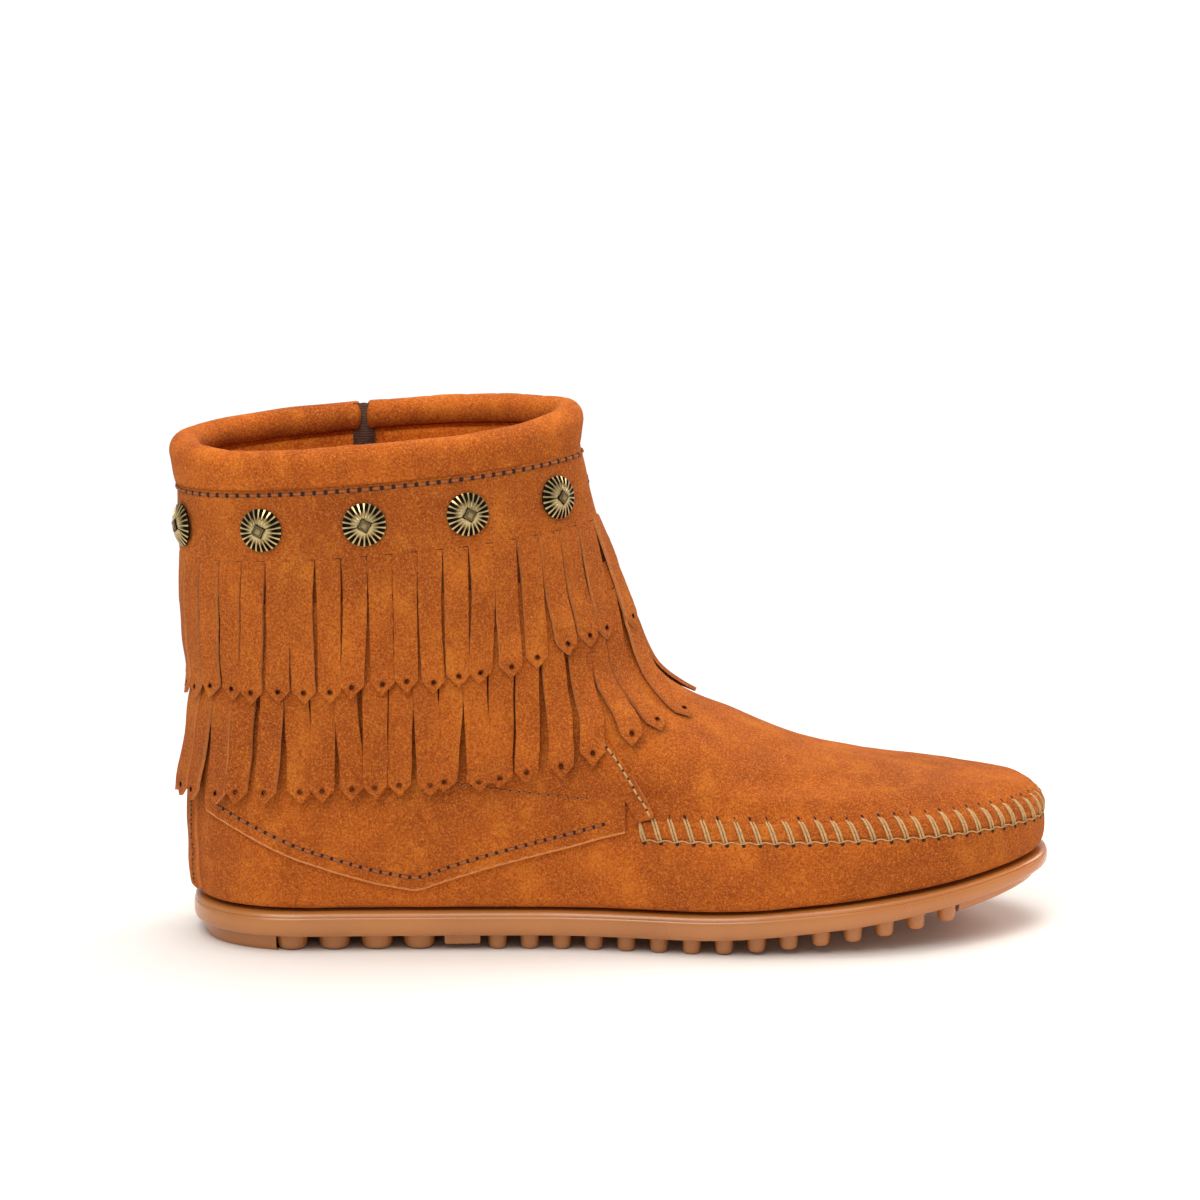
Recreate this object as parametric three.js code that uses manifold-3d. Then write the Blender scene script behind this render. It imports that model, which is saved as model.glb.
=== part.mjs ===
// Women's moccasin ankle boot with a double fringe, for the right foot.
// Millimetres, +X to the toe, +Z up, -Y the lateral (outer) side, +Y the medial side with the zip.
// The origin is on the flat underside of the heel plate, one heel setback ahead of the sole's back.
import * as THREE from 'three';
import { mergeVertices } from 'three/addons/utils/BufferGeometryUtils.js';
import Module from 'manifold-3d';

const wasm = await Module();
wasm.setup();

// Last and sole
const soleLength = 252;
const ballWidth = 86;
const heelWidth = 62;
const heelSetback = 13.4;
const pegHeight = 4.7;
const bandHeight = 7.4;
const toeSpring = 13.5;
const toeBandThinning = 2.6;

// Foot and shaft of the upper
const instepHeight = 70.5;
const shaftBack = -15;
const shaftLength = 112;
const shaftWidth = 62;
const backRimHeight = 139.5;
const frontRimHeight = 148.2;
const wallThickness = 2;
const clearance = 0.3;
const layerGap = 0.5;

// Layers sewn onto the upper
const overlayThickness = 0.9;
const fringeThickness = 1;
const stripPitch = 7.2;
const stripWidth = 5.9;
const stripTipLength = 3.2;
const bandTopDrop = 1.5;
const upperSlitDrop = 26;
const upperStripLength = 41;
const upperFrontShortening = 7.5;
const lowerBandDrop = 40;
const lowerBandHeight = 6;
const lowerStripLength = 51;
const lowerFrontShortening = 8;
const fringeFlare = 1;
const seamRollWidth = 4.6;
const seamRollHeight = 1.2;
const heelStripWidth = 25;
const frontStripWidth = 5;

// Collar and conchos
const rollRadius = 4.5;
const rollFlat = 3.6;
const conchoDiameter = 12.7;
const conchoHeight = 2.6;
const conchoCount = 9;
const conchoPitch = 29.3;
const conchoDrop = 17;
const conchoShift = -8.7;

// Zip on the medial side
const zipX = 38;
const zipBottom = 30;
const slitWidth = 5;
const tapeWidth = 22;
const tapeThickness = 0.8;
const chainWidth = 4.2;
const chainHeight = 1.7;
const fringeParting = 12;
const sliderWidth = 7.2;
const sliderLength = 9.4;
const sliderThickness = 1.8;
const sliderDrop = 9;
const archWidth = 1.6;
const archLength = 7;
const archThickness = 0.9;
const pivotBarDiameter = 1.2;
const pivotPlay = 0.35;
const pullLength = 24;
const pullWidth = 6.6;
const pullThickness = 1.2;
const pullHoleWidth = 3;

// Colours of the materials
const suedeColour = 0xab4f1c;
const gumColour = 0xae6d3b;
const brassColour = 0x8a7a4c;
const tapeColour = 0x4a3220;
const boardColour = 0x8b5c34;

const suede = new THREE.MeshStandardMaterial({ color: suedeColour, roughness: 0.95, metalness: 0 });
const gumRubber = new THREE.MeshStandardMaterial({ color: gumColour, roughness: 0.45, metalness: 0 });
const brass = new THREE.MeshStandardMaterial({ color: brassColour, roughness: 0.4, metalness: 0.9 });
const tapeCloth = new THREE.MeshStandardMaterial({ color: tapeColour, roughness: 0.9, metalness: 0 });
const soleBoard = new THREE.MeshStandardMaterial({ color: boardColour, roughness: 0.8, metalness: 0 });

// Smooth tables

const mix = (a, b, share) => a + (b - a) * share;
const limit = (value, low, high) => Math.min(Math.max(value, low), high);

// Slope of a table at one of its keys that never makes the curve overshoot.
function slopeAt(keys, values, index) {
  if (index === 0 || index === keys.length - 1) return 0;
  const before = (values[index] - values[index - 1]) / (keys[index] - keys[index - 1]);
  const after = (values[index + 1] - values[index]) / (keys[index + 1] - keys[index]);
  return before * after <= 0 ? 0 : (2 * before * after) / (before + after);
}

// Value of a table between its keys.
function smooth(keys, values, at) {
  const place = limit(at, keys[0], keys[keys.length - 1]);
  let index = 0;
  while (index < keys.length - 2 && place > keys[index + 1]) index += 1;
  const span = keys[index + 1] - keys[index];
  const share = (place - keys[index]) / span;
  const startSlope = slopeAt(keys, values, index) * span;
  const endSlope = slopeAt(keys, values, index + 1) * span;
  const rise = values[index + 1] - values[index];
  const bend = (3 - 2 * share) * share * share;
  const startBend = share * (1 - share) * (1 - share);
  const endBend = share * share * (share - 1);
  return values[index] + rise * bend + startSlope * startBend + endSlope * endBend;
}

// A row's named columns as one object.
const named = (columns, row) => Object.fromEntries(columns.map((column, index) => [column, row[index]]));

// Sole: plan outline and side curve

const soleBack = -heelSetback;
const soleTip = soleBack + soleLength;
const soleX = (share) => soleBack + share * soleLength;

// Shares of the sole's length, then half widths as shares of the ball width.
const outlineColumns = ['along', 'lateral', 'medial'];
const outlineTable = [
  [0.0, 0.36, 0.36],
  [0.14, 0.364, 0.362],
  [0.4, 0.39, 0.328],
  [0.66, 0.52, 0.472],
  [0.74, 0.52, 0.492],
  [0.85, 0.468, 0.49],
  [1.0, 0.39, 0.42],
].map((row) => named(outlineColumns, row));
const heelRound = 0.13;
const toeRound = 0.21;
const roundPower = 2.2;
const springStart = 0.565;
const springPower = 1.6;

// Round end of a ring: 0 at the end itself, 1 from the given share inwards.
function roundEnd(share, length) {
  if (share >= length) return 1;
  const away = (length - Math.max(share, 0)) / length;
  return (1 - away ** roundPower) ** (1 / roundPower);
}

function outlineHalf(share, side) {
  const keys = outlineTable.map((row) => row.along);
  const values = outlineTable.map((row) => (side < 0 ? row.lateral : row.medial));
  const half = smooth(keys, values, share) * ballWidth;
  return half * roundEnd(share, heelRound) * roundEnd(1 - share, toeRound);
}

function springShare(x) {
  const share = (x - soleX(springStart)) / (soleTip - soleX(springStart));
  return limit(share, 0, 1.05) ** springPower;
}

const soleBase = (x) => pegHeight + toeSpring * springShare(x);
const soleTop = (x) => soleBase(x) + bandHeight - toeBandThinning * springShare(x);

// Upper: sections from the feather edge to the collar rim

// Foot rows. Lengths along X are shares of the sole's length and heights shares of the instep height.
// The heel's half width is a share of the heel width, the other half widths of the ball width.
// Follow is 1 where a section lies on the sole, and its height then counts from there.
const sectionColumns = ['backX', 'backZ', 'frontX', 'frontZ', 'follow',
  'lateralHeel', 'lateralWaist', 'lateralBall', 'lateralToe',
  'medialHeel', 'medialWaist', 'medialBall', 'medialToe', 'backRound', 'frontRound'];
const footTable = [
  [0.026, 0.0, 0.968, 0.0, 1, 0.4, 0.318, 0.44, 0.39, 0.4, 0.256, 0.4, 0.41, 0.13, 0.21],
  [0.004, 0.022, 0.993, 0.022, 1, 0.486, 0.376, 0.506, 0.452, 0.486, 0.314, 0.465, 0.474, 0.13, 0.21],
  [-0.002, 0.383, 0.996, 0.42, 0, 0.51, 0.393, 0.519, 0.465, 0.508, 0.335, 0.481, 0.488, 0.13, 0.2],
  [0.0, 0.54, 0.992, 0.52, 0, 0.506, 0.39, 0.497, 0.445, 0.5, 0.348, 0.466, 0.468, 0.14, 0.21],
  [0.003, 0.681, 0.972, 0.606, 0, 0.5, 0.384, 0.463, 0.372, 0.497, 0.358, 0.44, 0.384, 0.15, 0.25],
  [0.006, 0.794, 0.867, 0.66, 0, 0.492, 0.379, 0.44, 0.352, 0.489, 0.364, 0.425, 0.36, 0.17, 0.3],
  [0.0071, 0.908, 0.736, 0.752, 0, 0.488, 0.379, 0.416, 0.38, 0.484, 0.37, 0.405, 0.378, 0.2, 0.27],
  [0.0085, 1.021, 0.642, 0.885, 0, 0.484, 0.384, 0.386, 0.36, 0.484, 0.38, 0.382, 0.36, 0.24, 0.3],
  [0.0085, 1.135, 0.578, 0.985, 0, 0.484, 0.388, 0.378, 0.348, 0.484, 0.384, 0.374, 0.348, 0.28, 0.36],
];
// Shaft rows. Lengths along X are shares of the shaft's length, heights shares of the way from the
// last foot row up to the rim, and half widths shares of the shaft width.
const shaftTable = [
  [0.027, 0.149, 1.23, 0.097, 0, 0.484, 0.535, 0.518, 0.472, 0.484, 0.53, 0.514, 0.472, 0.32, 0.4],
  [0.02, 0.296, 1.165, 0.266, 0, 0.486, 0.53, 0.512, 0.462, 0.486, 0.527, 0.51, 0.462, 0.36, 0.44],
  [0.007, 0.493, 1.1, 0.503, 0, 0.49, 0.522, 0.506, 0.455, 0.49, 0.52, 0.505, 0.455, 0.4, 0.48],
  [0.0, 0.747, 1.047, 0.737, 0, 0.495, 0.51, 0.5, 0.452, 0.495, 0.51, 0.5, 0.452, 0.43, 0.5],
  [0.0, 1.0, 1.008, 1.0, 0, 0.5, 0.503, 0.495, 0.45, 0.5, 0.503, 0.495, 0.45, 0.45, 0.5],
];
const stationAlong = [0, 0.14, 0.4, 0.66, 0.85, 1];
const tipShare = 0.82;

function footSection(row) {
  const section = named(sectionColumns, row);
  for (const key of ['backX', 'frontX']) section[key] = soleX(section[key]);
  for (const key of ['backZ', 'frontZ']) section[key] *= instepHeight;
  for (const key of ['lateralHeel', 'medialHeel']) section[key] *= heelWidth;
  for (const key of ['lateralWaist', 'lateralBall', 'lateralToe']) section[key] *= ballWidth;
  for (const key of ['medialWaist', 'medialBall', 'medialToe']) section[key] *= ballWidth;
  return section;
}

function shaftSection(row) {
  const section = named(sectionColumns, row);
  for (const key of ['backX', 'frontX']) section[key] = shaftBack + section[key] * shaftLength;
  const foot = footSection(footTable[footTable.length - 1]);
  section.backZ = mix(foot.backZ, backRimHeight, section.backZ);
  section.frontZ = mix(foot.frontZ, frontRimHeight, section.frontZ);
  for (const key of ['lateralHeel', 'medialHeel', 'lateralWaist', 'medialWaist',
    'lateralBall', 'medialBall', 'lateralToe', 'medialToe']) section[key] *= shaftWidth;
  return section;
}

const sections = [...footTable.map(footSection), ...shaftTable.map(shaftSection)];
const sectionKeys = sections.map((section, index) => index);
const rimLevel = sections.length - 1;
const sectionValues = Object.fromEntries(
  sectionColumns.map((column) => [column, sections.map((section) => section[column])]));

function sectionAt(level) {
  const entries = sectionColumns.map((column) => [column, smooth(sectionKeys, sectionValues[column], level)]);
  return Object.fromEntries(entries);
}

// Point of the upper's outer face. Level counts the sections, and around goes from the back (0)
// over the lateral side to the front (0.5) and back over the medial side (1).
function facePoint(level, around) {
  const section = sectionAt(limit(level, 0, rimLevel));
  const turn = around - Math.floor(around);
  const side = turn <= 0.5 ? -1 : 1;
  const half = side < 0 ? turn * 2 : (1 - turn) * 2;
  const along = (1 - Math.cos(Math.PI * half)) / 2;
  const prefix = side < 0 ? 'lateral' : 'medial';
  const heel = section[`${prefix}Heel`];
  const toe = section[`${prefix}Toe`];
  const widths = [heel, heel, section[`${prefix}Waist`], section[`${prefix}Ball`], toe, toe * tipShare];
  const ends = roundEnd(along, section.backRound) * roundEnd(1 - along, section.frontRound);
  const x = mix(section.backX, section.frontX, along);
  const y = side * smooth(stationAlong, widths, along) * ends;
  const onSole = section.follow * (soleTop(x) + clearance);
  return new THREE.Vector3(x, y, mix(section.backZ, section.frontZ, along) + onSole);
}

const probe = 0.004;

function faceFrame(level, around) {
  const upLevel = limit(level + probe, 0, rimLevel);
  const downLevel = limit(level - probe, 0, rimLevel);
  const rise = facePoint(upLevel, around).sub(facePoint(downLevel, around)).divideScalar(upLevel - downLevel);
  const run = facePoint(level, around + probe).sub(facePoint(level, around - probe)).divideScalar(2 * probe);
  return { rise, run, normal: new THREE.Vector3().crossVectors(run, rise).normalize() };
}

// Point that stands off the upper's outer face; a negative offset lies inside it.
function skinPoint(level, around, offset = 0) {
  return facePoint(level, around).addScaledVector(faceFrame(level, around).normal, offset);
}

// Level at which the face reaches a height, at one place around the boot.
function levelAtHeight(around, height) {
  let low = 0;
  let high = rimLevel;
  for (let step = 0; step < 26; step += 1) {
    const middle = (low + high) / 2;
    if (facePoint(middle, around).z < height) low = middle;
    else high = middle;
  }
  return (low + high) / 2;
}

// Place around the boot at a level where one side reaches a given X.
function aroundAtX(level, x, side) {
  const section = sectionAt(level);
  const along = limit((x - section.backX) / (section.frontX - section.backX), 0, 1);
  const half = Math.acos(1 - 2 * along) / Math.PI;
  return side < 0 ? half / 2 : 1 - half / 2;
}

// Place on one side of the boot that has a given X and height.
function placeOnSide(x, height, side) {
  let level = rimLevel / 2;
  let around = aroundAtX(level, x, side);
  for (let step = 0; step < 12; step += 1) {
    level = levelAtHeight(around, height);
    around = aroundAtX(level, x, side);
  }
  return { level, around };
}

// Distance round the boot at a level, and the place at a given distance from the back.
function girth(levelAt) {
  const count = 240;
  const lengths = [0];
  let last = facePoint(levelAt(0), 0);
  for (let step = 1; step <= count; step += 1) {
    const next = facePoint(levelAt(step / count), step / count);
    lengths.push(lengths[step - 1] + next.distanceTo(last));
    last = next;
  }
  const shares = lengths.map((length, index) => index / count);
  return { total: lengths[count], aroundAt: (length) => smoothLinear(lengths, shares, length) };
}

function smoothLinear(keys, values, at) {
  let index = 0;
  while (index < keys.length - 2 && at > keys[index + 1]) index += 1;
  return mix(values[index], values[index + 1], (at - keys[index]) / (keys[index + 1] - keys[index]));
}

// Solids

function bufferFrom(positions, triangles) {
  const geometry = new THREE.BufferGeometry();
  geometry.setAttribute('position', new THREE.Float32BufferAttribute(positions, 3));
  geometry.setIndex(triangles);
  return geometry;
}

// Closed solid between the outer and the inner place of each point of a flat pattern of triangles.
function sheetSolid(points, triangles) {
  const count = points.length;
  const positions = [...points.map((point) => point.outer), ...points.map((point) => point.inner)]
    .flatMap((place) => [place.x, place.y, place.z]);
  const faces = [];
  const edges = new Set();
  for (const [a, b, c] of triangles) {
    faces.push(a, b, c, a + count, c + count, b + count);
    for (const [from, to] of [[a, b], [b, c], [c, a]]) edges.add(`${from} ${to}`);
  }
  for (const edge of edges) {
    const [from, to] = edge.split(' ').map(Number);
    if (!edges.has(`${to} ${from}`)) {
      faces.push(to, from, from + count, to, from + count, to + count);
    }
  }
  return bufferFrom(positions, faces);
}

// Triangles of a grid whose points run row by row; a closed grid joins its last column to its first.
function gridTriangles(columns, rows, closed = false) {
  const triangles = [];
  const last = closed ? columns : columns - 1;
  for (let row = 0; row < rows - 1; row += 1) {
    for (let column = 0; column < last; column += 1) {
      const next = (column + 1) % columns;
      const here = row * columns;
      const above = here + columns;
      triangles.push([here + column, here + next, above + next]);
      triangles.push([here + column, above + next, above + column]);
    }
  }
  return triangles;
}

function toManifold(geometry) {
  const bare = geometry.clone();
  bare.deleteAttribute('normal');
  bare.deleteAttribute('uv');
  const merged = mergeVertices(bare, 1e-4);
  return new wasm.Manifold(new wasm.Mesh({
    numProp: 3,
    vertProperties: new Float32Array(merged.attributes.position.array),
    triVerts: new Uint32Array(merged.index.array),
  }));
}

function fromManifold(solid) {
  const mesh = solid.getMesh();
  return bufferFrom(Array.from(mesh.vertProperties), Array.from(mesh.triVerts));
}

function boxAt(sizeX, sizeY, sizeZ, x, y, z) {
  return new THREE.BoxGeometry(sizeX, sizeY, sizeZ).translate(x, y, z);
}

// Outsole: band, heel plate, pegs, waist bar and toe plate in one moulding

// Profile of the band's side, from its underside to its top: share of its height, and inset.
const bandProfile = [
  { height: 0, inset: 1.5 },
  { height: 0.22, inset: 0.2 },
  { height: 0.6, inset: 0 },
  { height: 0.86, inset: 0.5 },
  { height: 1, inset: 1.4 },
];
const soleStations = 22;

// Ring of plan points of the sole's outline, moved inwards by an inset, between two shares.
function solePlan(inset, from = 0, to = 1) {
  const sides = [-1, 1].map((side) => {
    const points = [];
    for (let step = 0; step <= soleStations; step += 1) {
      const share = mix(from, to, (1 - Math.cos((Math.PI * step) / soleStations)) / 2);
      const inner = inset / soleLength;
      const half = outlineHalf(share, side) - inset * roundEnd(share, inner + heelRound / 2);
      points.push({ x: mix(soleBack + inset, soleTip - inset, share), y: side * Math.max(half, 0) });
    }
    return points;
  });
  const back = sides[1].slice(1, soleStations).reverse();
  return [...sides[0], ...back];
}

// Closed solid from rings of the same number of points, each ring given from the bottom up.
function stackSolid(rings) {
  const count = rings[0].length;
  const positions = rings.flat().flatMap((point) => [point.x, point.y, point.z]);
  const faces = gridTriangles(count, rings.length, true).flat();
  const half = Math.floor(count / 2);
  const top = (rings.length - 1) * count;
  for (let step = 0; step < half; step += 1) {
    const near = step;
    const nearNext = step + 1;
    const far = (count - step) % count;
    const farNext = count - step - 1;
    if (near !== far) faces.push(near, far, nearNext, top + near, top + nearNext, top + far);
    if (nearNext !== farNext) faces.push(nearNext, far, farNext, top + nearNext, top + farNext, top + far);
  }
  return bufferFrom(positions, faces);
}

function soleBand() {
  const rings = bandProfile.map((row) => solePlan(row.inset).map((point) => ({
    x: point.x,
    y: point.y,
    z: mix(soleBase(point.x), soleTop(point.x), row.height),
  })));
  return toManifold(stackSolid(rings));
}

const plateInset = 3.2;
const sinkIntoBand = 1.2;
const heelPlateEnd = 0.085;
const toePlateStart = 0.892;
const toePlateHeight = 3;

// Plate under one end of the sole, from its flat or sprung underside up into the band.
function endPlate(from, to, height) {
  const ring = solePlan(plateInset, from, to);
  const low = ring.map((point) => ({ ...point, z: soleBase(point.x) - height }));
  const high = ring.map((point) => ({ ...point, z: soleBase(point.x) + sinkIntoBand }));
  return toManifold(stackSolid([low, high]));
}

const pegSides = 6;
const pegTaper = 0.84;

// Round peg that hangs from the band, a little narrower at its tip.
function peg(x, y, diameter) {
  const radius = diameter / 2;
  const top = soleBase(x) + sinkIntoBand + toeSpring * (springShare(x + radius) - springShare(x));
  const bottom = soleBase(x) - pegHeight;
  const shape = new THREE.CylinderGeometry(radius, radius * pegTaper, top - bottom, pegSides);
  return toManifold(shape.rotateX(Math.PI / 2).translate(x, y, (top + bottom) / 2));
}

// Rows of pegs from side to side, kept inside the outline.
function pegRows(rowCount, firstX, pitchX, pitchY, diameter) {
  const pegs = [];
  for (let row = 0; row < rowCount; row += 1) {
    const x = firstX + row * pitchX;
    const share = (x - soleBack) / soleLength;
    const edge = plateInset + diameter / 2;
    const low = -outlineHalf(share, -1) + edge;
    const high = outlineHalf(share, 1) - edge;
    const count = Math.round((high - low) / pitchY) + 1;
    for (let step = 0; step < count; step += 1) {
      pegs.push(peg(x, mix(low, high, step / (count - 1)), diameter));
    }
  }
  return pegs;
}

const widePegRows = 4;
const widePegStart = 0.114;
const widePegPitch = 12.3;
const widePegSpacing = 18;
const widePegDiameter = 9.3;
const narrowPegRows = 15;
const narrowPegStart = 0.35;
const narrowPegPitch = 9.3;
const narrowPegSpacing = 21;
const narrowPegDiameter = 5.5;
const barStart = 0.289;
const barLength = 10.3;
const barLift = 1.7;

function waistBar() {
  const x = soleX(barStart) + barLength / 2;
  const share = (x - soleBack) / soleLength;
  const low = -outlineHalf(share, -1) + plateInset;
  const high = outlineHalf(share, 1) - plateInset;
  const height = pegHeight - barLift + sinkIntoBand;
  return toManifold(boxAt(barLength, high - low, height, x, (low + high) / 2, barLift + height / 2));
}

function outsole() {
  const pegs = [
    ...pegRows(widePegRows, soleX(widePegStart), widePegPitch, widePegSpacing, widePegDiameter),
    ...pegRows(narrowPegRows, soleX(narrowPegStart), narrowPegPitch, narrowPegSpacing, narrowPegDiameter),
  ];
  let solid = soleBand();
  solid = solid.add(endPlate(0, heelPlateEnd, pegHeight));
  solid = solid.add(endPlate(toePlateStart, 1, toePlateHeight));
  solid = solid.add(waistBar());
  for (const one of pegs) solid = solid.add(one);
  return fromManifold(solid);
}

// Insole, inside the turned edge of the upper

const insoleInset = 9.2;
const insoleThickness = 1.8;

function insole() {
  const ring = solePlan(insoleInset);
  const rings = [clearance, clearance + insoleThickness].map((lift) => ring.map((point) => ({
    ...point,
    z: soleTop(point.x) + lift,
  })));
  return stackSolid(rings);
}

// Upper: one hollow skin, open at the collar and under the foot, slit for the zip

const upperColumns = 40;
const upperLevels = [0, 1, 1.4, 2, 3, 3.5, 4, 4.5, 5, 6, 7, 8, 8.7, 9.5, 10.3, 11, 12, rimLevel];

function upper() {
  const points = upperLevels.flatMap((level) => Array.from({ length: upperColumns }, (unused, column) => ({
    outer: skinPoint(level, column / upperColumns),
    inner: skinPoint(level, column / upperColumns, -wallThickness),
  })));
  const skin = toManifold(sheetSolid(points, gridTriangles(upperColumns, upperLevels.length, true)));
  return fromManifold(skin.subtract(zipSlit()));
}

// Space that the zip's slit takes out of the medial side.
function zipSlit() {
  const height = frontRimHeight + rollRadius - zipBottom;
  return toManifold(boxAt(slitWidth, shaftWidth, height,
    zipX, shaftWidth / 2 + slitWidth, zipBottom + height / 2));
}

// Patch of a layer on one side of the boot, between a lower and an upper edge given as heights.
function sidePatch(side, columnXs, edgesAt, rows, inner, thickness) {
  const points = [];
  for (let row = 0; row < rows; row += 1) {
    for (const x of side < 0 ? columnXs : [...columnXs].reverse()) {
      const [low, high] = edgesAt(x);
      const place = placeOnSide(x, mix(low, high, row / (rows - 1)), side);
      points.push({
        outer: skinPoint(place.level, place.around, inner + thickness),
        inner: skinPoint(place.level, place.around, inner),
      });
    }
  }
  return sheetSolid(points, gridTriangles(columnXs.length, rows));
}

// Quarter overlay with its pointed lower edge. Shares of the sole's length and the instep height.
const quarterColumns = ['along', 'low', 'high'];
const quarterTable = [
  [0.026, 0.56, 0.82],
  [0.04, 0.535, 0.82],
  [0.06, 0.5, 0.82],
  [0.086, 0.455, 0.82],
  [0.12, 0.4, 0.82],
  [0.165, 0.345, 0.82],
  [0.21, 0.298, 0.82],
  [0.255, 0.272, 0.82],
  [0.3, 0.325, 0.82],
  [0.345, 0.37, 0.82],
  [0.39, 0.41, 0.82],
  [0.435, 0.452, 0.8],
  [0.468, 0.488, 0.7],
  [0.49, 0.51, 0.57],
].map((row) => named(quarterColumns, row));

function quarter(side) {
  const alongs = quarterTable.map((row) => row.along);
  const lows = quarterTable.map((row) => row.low);
  const highs = quarterTable.map((row) => row.high);
  const edgesAt = (x) => {
    const along = (x - soleBack) / soleLength;
    return [smoothLinear(alongs, lows, along) * instepHeight, smoothLinear(alongs, highs, along) * instepHeight];
  };
  const panel = sidePatch(side, alongs.map(soleX), edgesAt, 5, layerGap, overlayThickness);
  return side < 0 ? panel : fromManifold(toManifold(panel).subtract(zipSlit()));
}

// Narrow strip down the front of the quarter. Shares of the sole's length and the instep height.
const frontStripColumns = ['along', 'height'];
const frontStripTable = [
  [0.5165, 0.59],
  [0.509, 0.64],
  [0.496, 0.72],
  [0.48, 0.8],
  [0.462, 0.88],
].map((row) => named(frontStripColumns, row));

function frontStrip(side) {
  const points = frontStripTable.flatMap((row) => {
    const spread = side < 0 ? [-0.5, 0.5] : [0.5, -0.5];
    return spread.map((share) => {
      const place = placeOnSide(soleX(row.along) + share * frontStripWidth, row.height * instepHeight, side);
      return {
        outer: skinPoint(place.level, place.around, layerGap + overlayThickness),
        inner: skinPoint(place.level, place.around, layerGap),
      };
    });
  });
  return sheetSolid(points, gridTriangles(2, frontStripTable.length));
}

// Layer that runs round part of the boot at set distances from the back, at set heights.
function roundPatch(distances, heights, inner, thickness) {
  const points = heights.flatMap((height) => {
    const ring = girth((around) => levelAtHeight(around, height));
    return distances.map((distance) => {
      const around = ring.aroundAt((distance + ring.total) % ring.total);
      const level = levelAtHeight(around, height);
      return {
        outer: skinPoint(level, around, inner + thickness),
        inner: skinPoint(level, around, inner),
      };
    });
  });
  return sheetSolid(points, gridTriangles(distances.length, heights.length));
}

const heelStripHeights = [0.235, 0.3, 0.38, 0.47, 0.56, 0.66, 0.76, 0.86];

function heelStrip() {
  const distances = [-0.5, -0.3, -0.1, 0.1, 0.3, 0.5].map((share) => share * heelStripWidth);
  return roundPatch(distances, heelStripHeights.map((share) => share * instepHeight), layerGap, overlayThickness);
}

// Raised roll of the moccasin seam, round the toe from one front strip to the other

const seamLevel = 3;
const seamStart = 0.512;
const seamSteps = 24;
const seamProfile = [
  { across: -0.5, height: 0.35 },
  { across: 0, height: 1 },
  { across: 0.5, height: 0.35 },
];

function plugSeam() {
  const from = aroundAtX(seamLevel, soleX(seamStart), -1);
  const to = aroundAtX(seamLevel, soleX(seamStart), 1);
  const points = seamProfile.flatMap((row) => {
    return Array.from({ length: seamSteps + 1 }, (unused, step) => {
      const around = mix(from, to, step / seamSteps);
      const level = seamLevel + (row.across * seamRollWidth) / faceFrame(seamLevel, around).rise.length();
      return {
        outer: skinPoint(level, around, layerGap + row.height * seamRollHeight),
        inner: skinPoint(level, around, layerGap),
      };
    });
  });
  return sheetSolid(points, gridTriangles(seamSteps + 1, seamProfile.length));
}

// Fringe tiers

const rimHeight = (around) => facePoint(rimLevel, around).z;
const levelBelowRim = (around, drop) => levelAtHeight(around, rimHeight(around) - drop);

// Path that a hanging strip takes down the face: its places at the given distances from its root.
function fallPath(level, around, distances) {
  const parts = 4;
  const strides = distances.flatMap((distance, index) => {
    return Array(parts).fill((distance - (distances[index - 1] ?? 0)) / parts);
  });
  const path = [{ level, around }];
  for (const stride of strides) {
    const last = path[path.length - 1];
    const { rise, run } = faceFrame(last.level, last.around);
    const upUp = rise.dot(rise);
    const runRun = run.dot(run);
    const cross = rise.dot(run);
    const determinant = upUp * runRun - cross * cross;
    const levelStep = (-rise.z * runRun + run.z * cross) / determinant;
    const aroundStep = (-run.z * upUp + rise.z * cross) / determinant;
    const move = rise.clone().multiplyScalar(levelStep).addScaledVector(run, aroundStep);
    const scale = stride / move.length();
    path.push({ level: last.level + levelStep * scale, around: last.around + aroundStep * scale });
  }
  return path.filter((place, index) => index % parts === 0);
}

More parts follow.
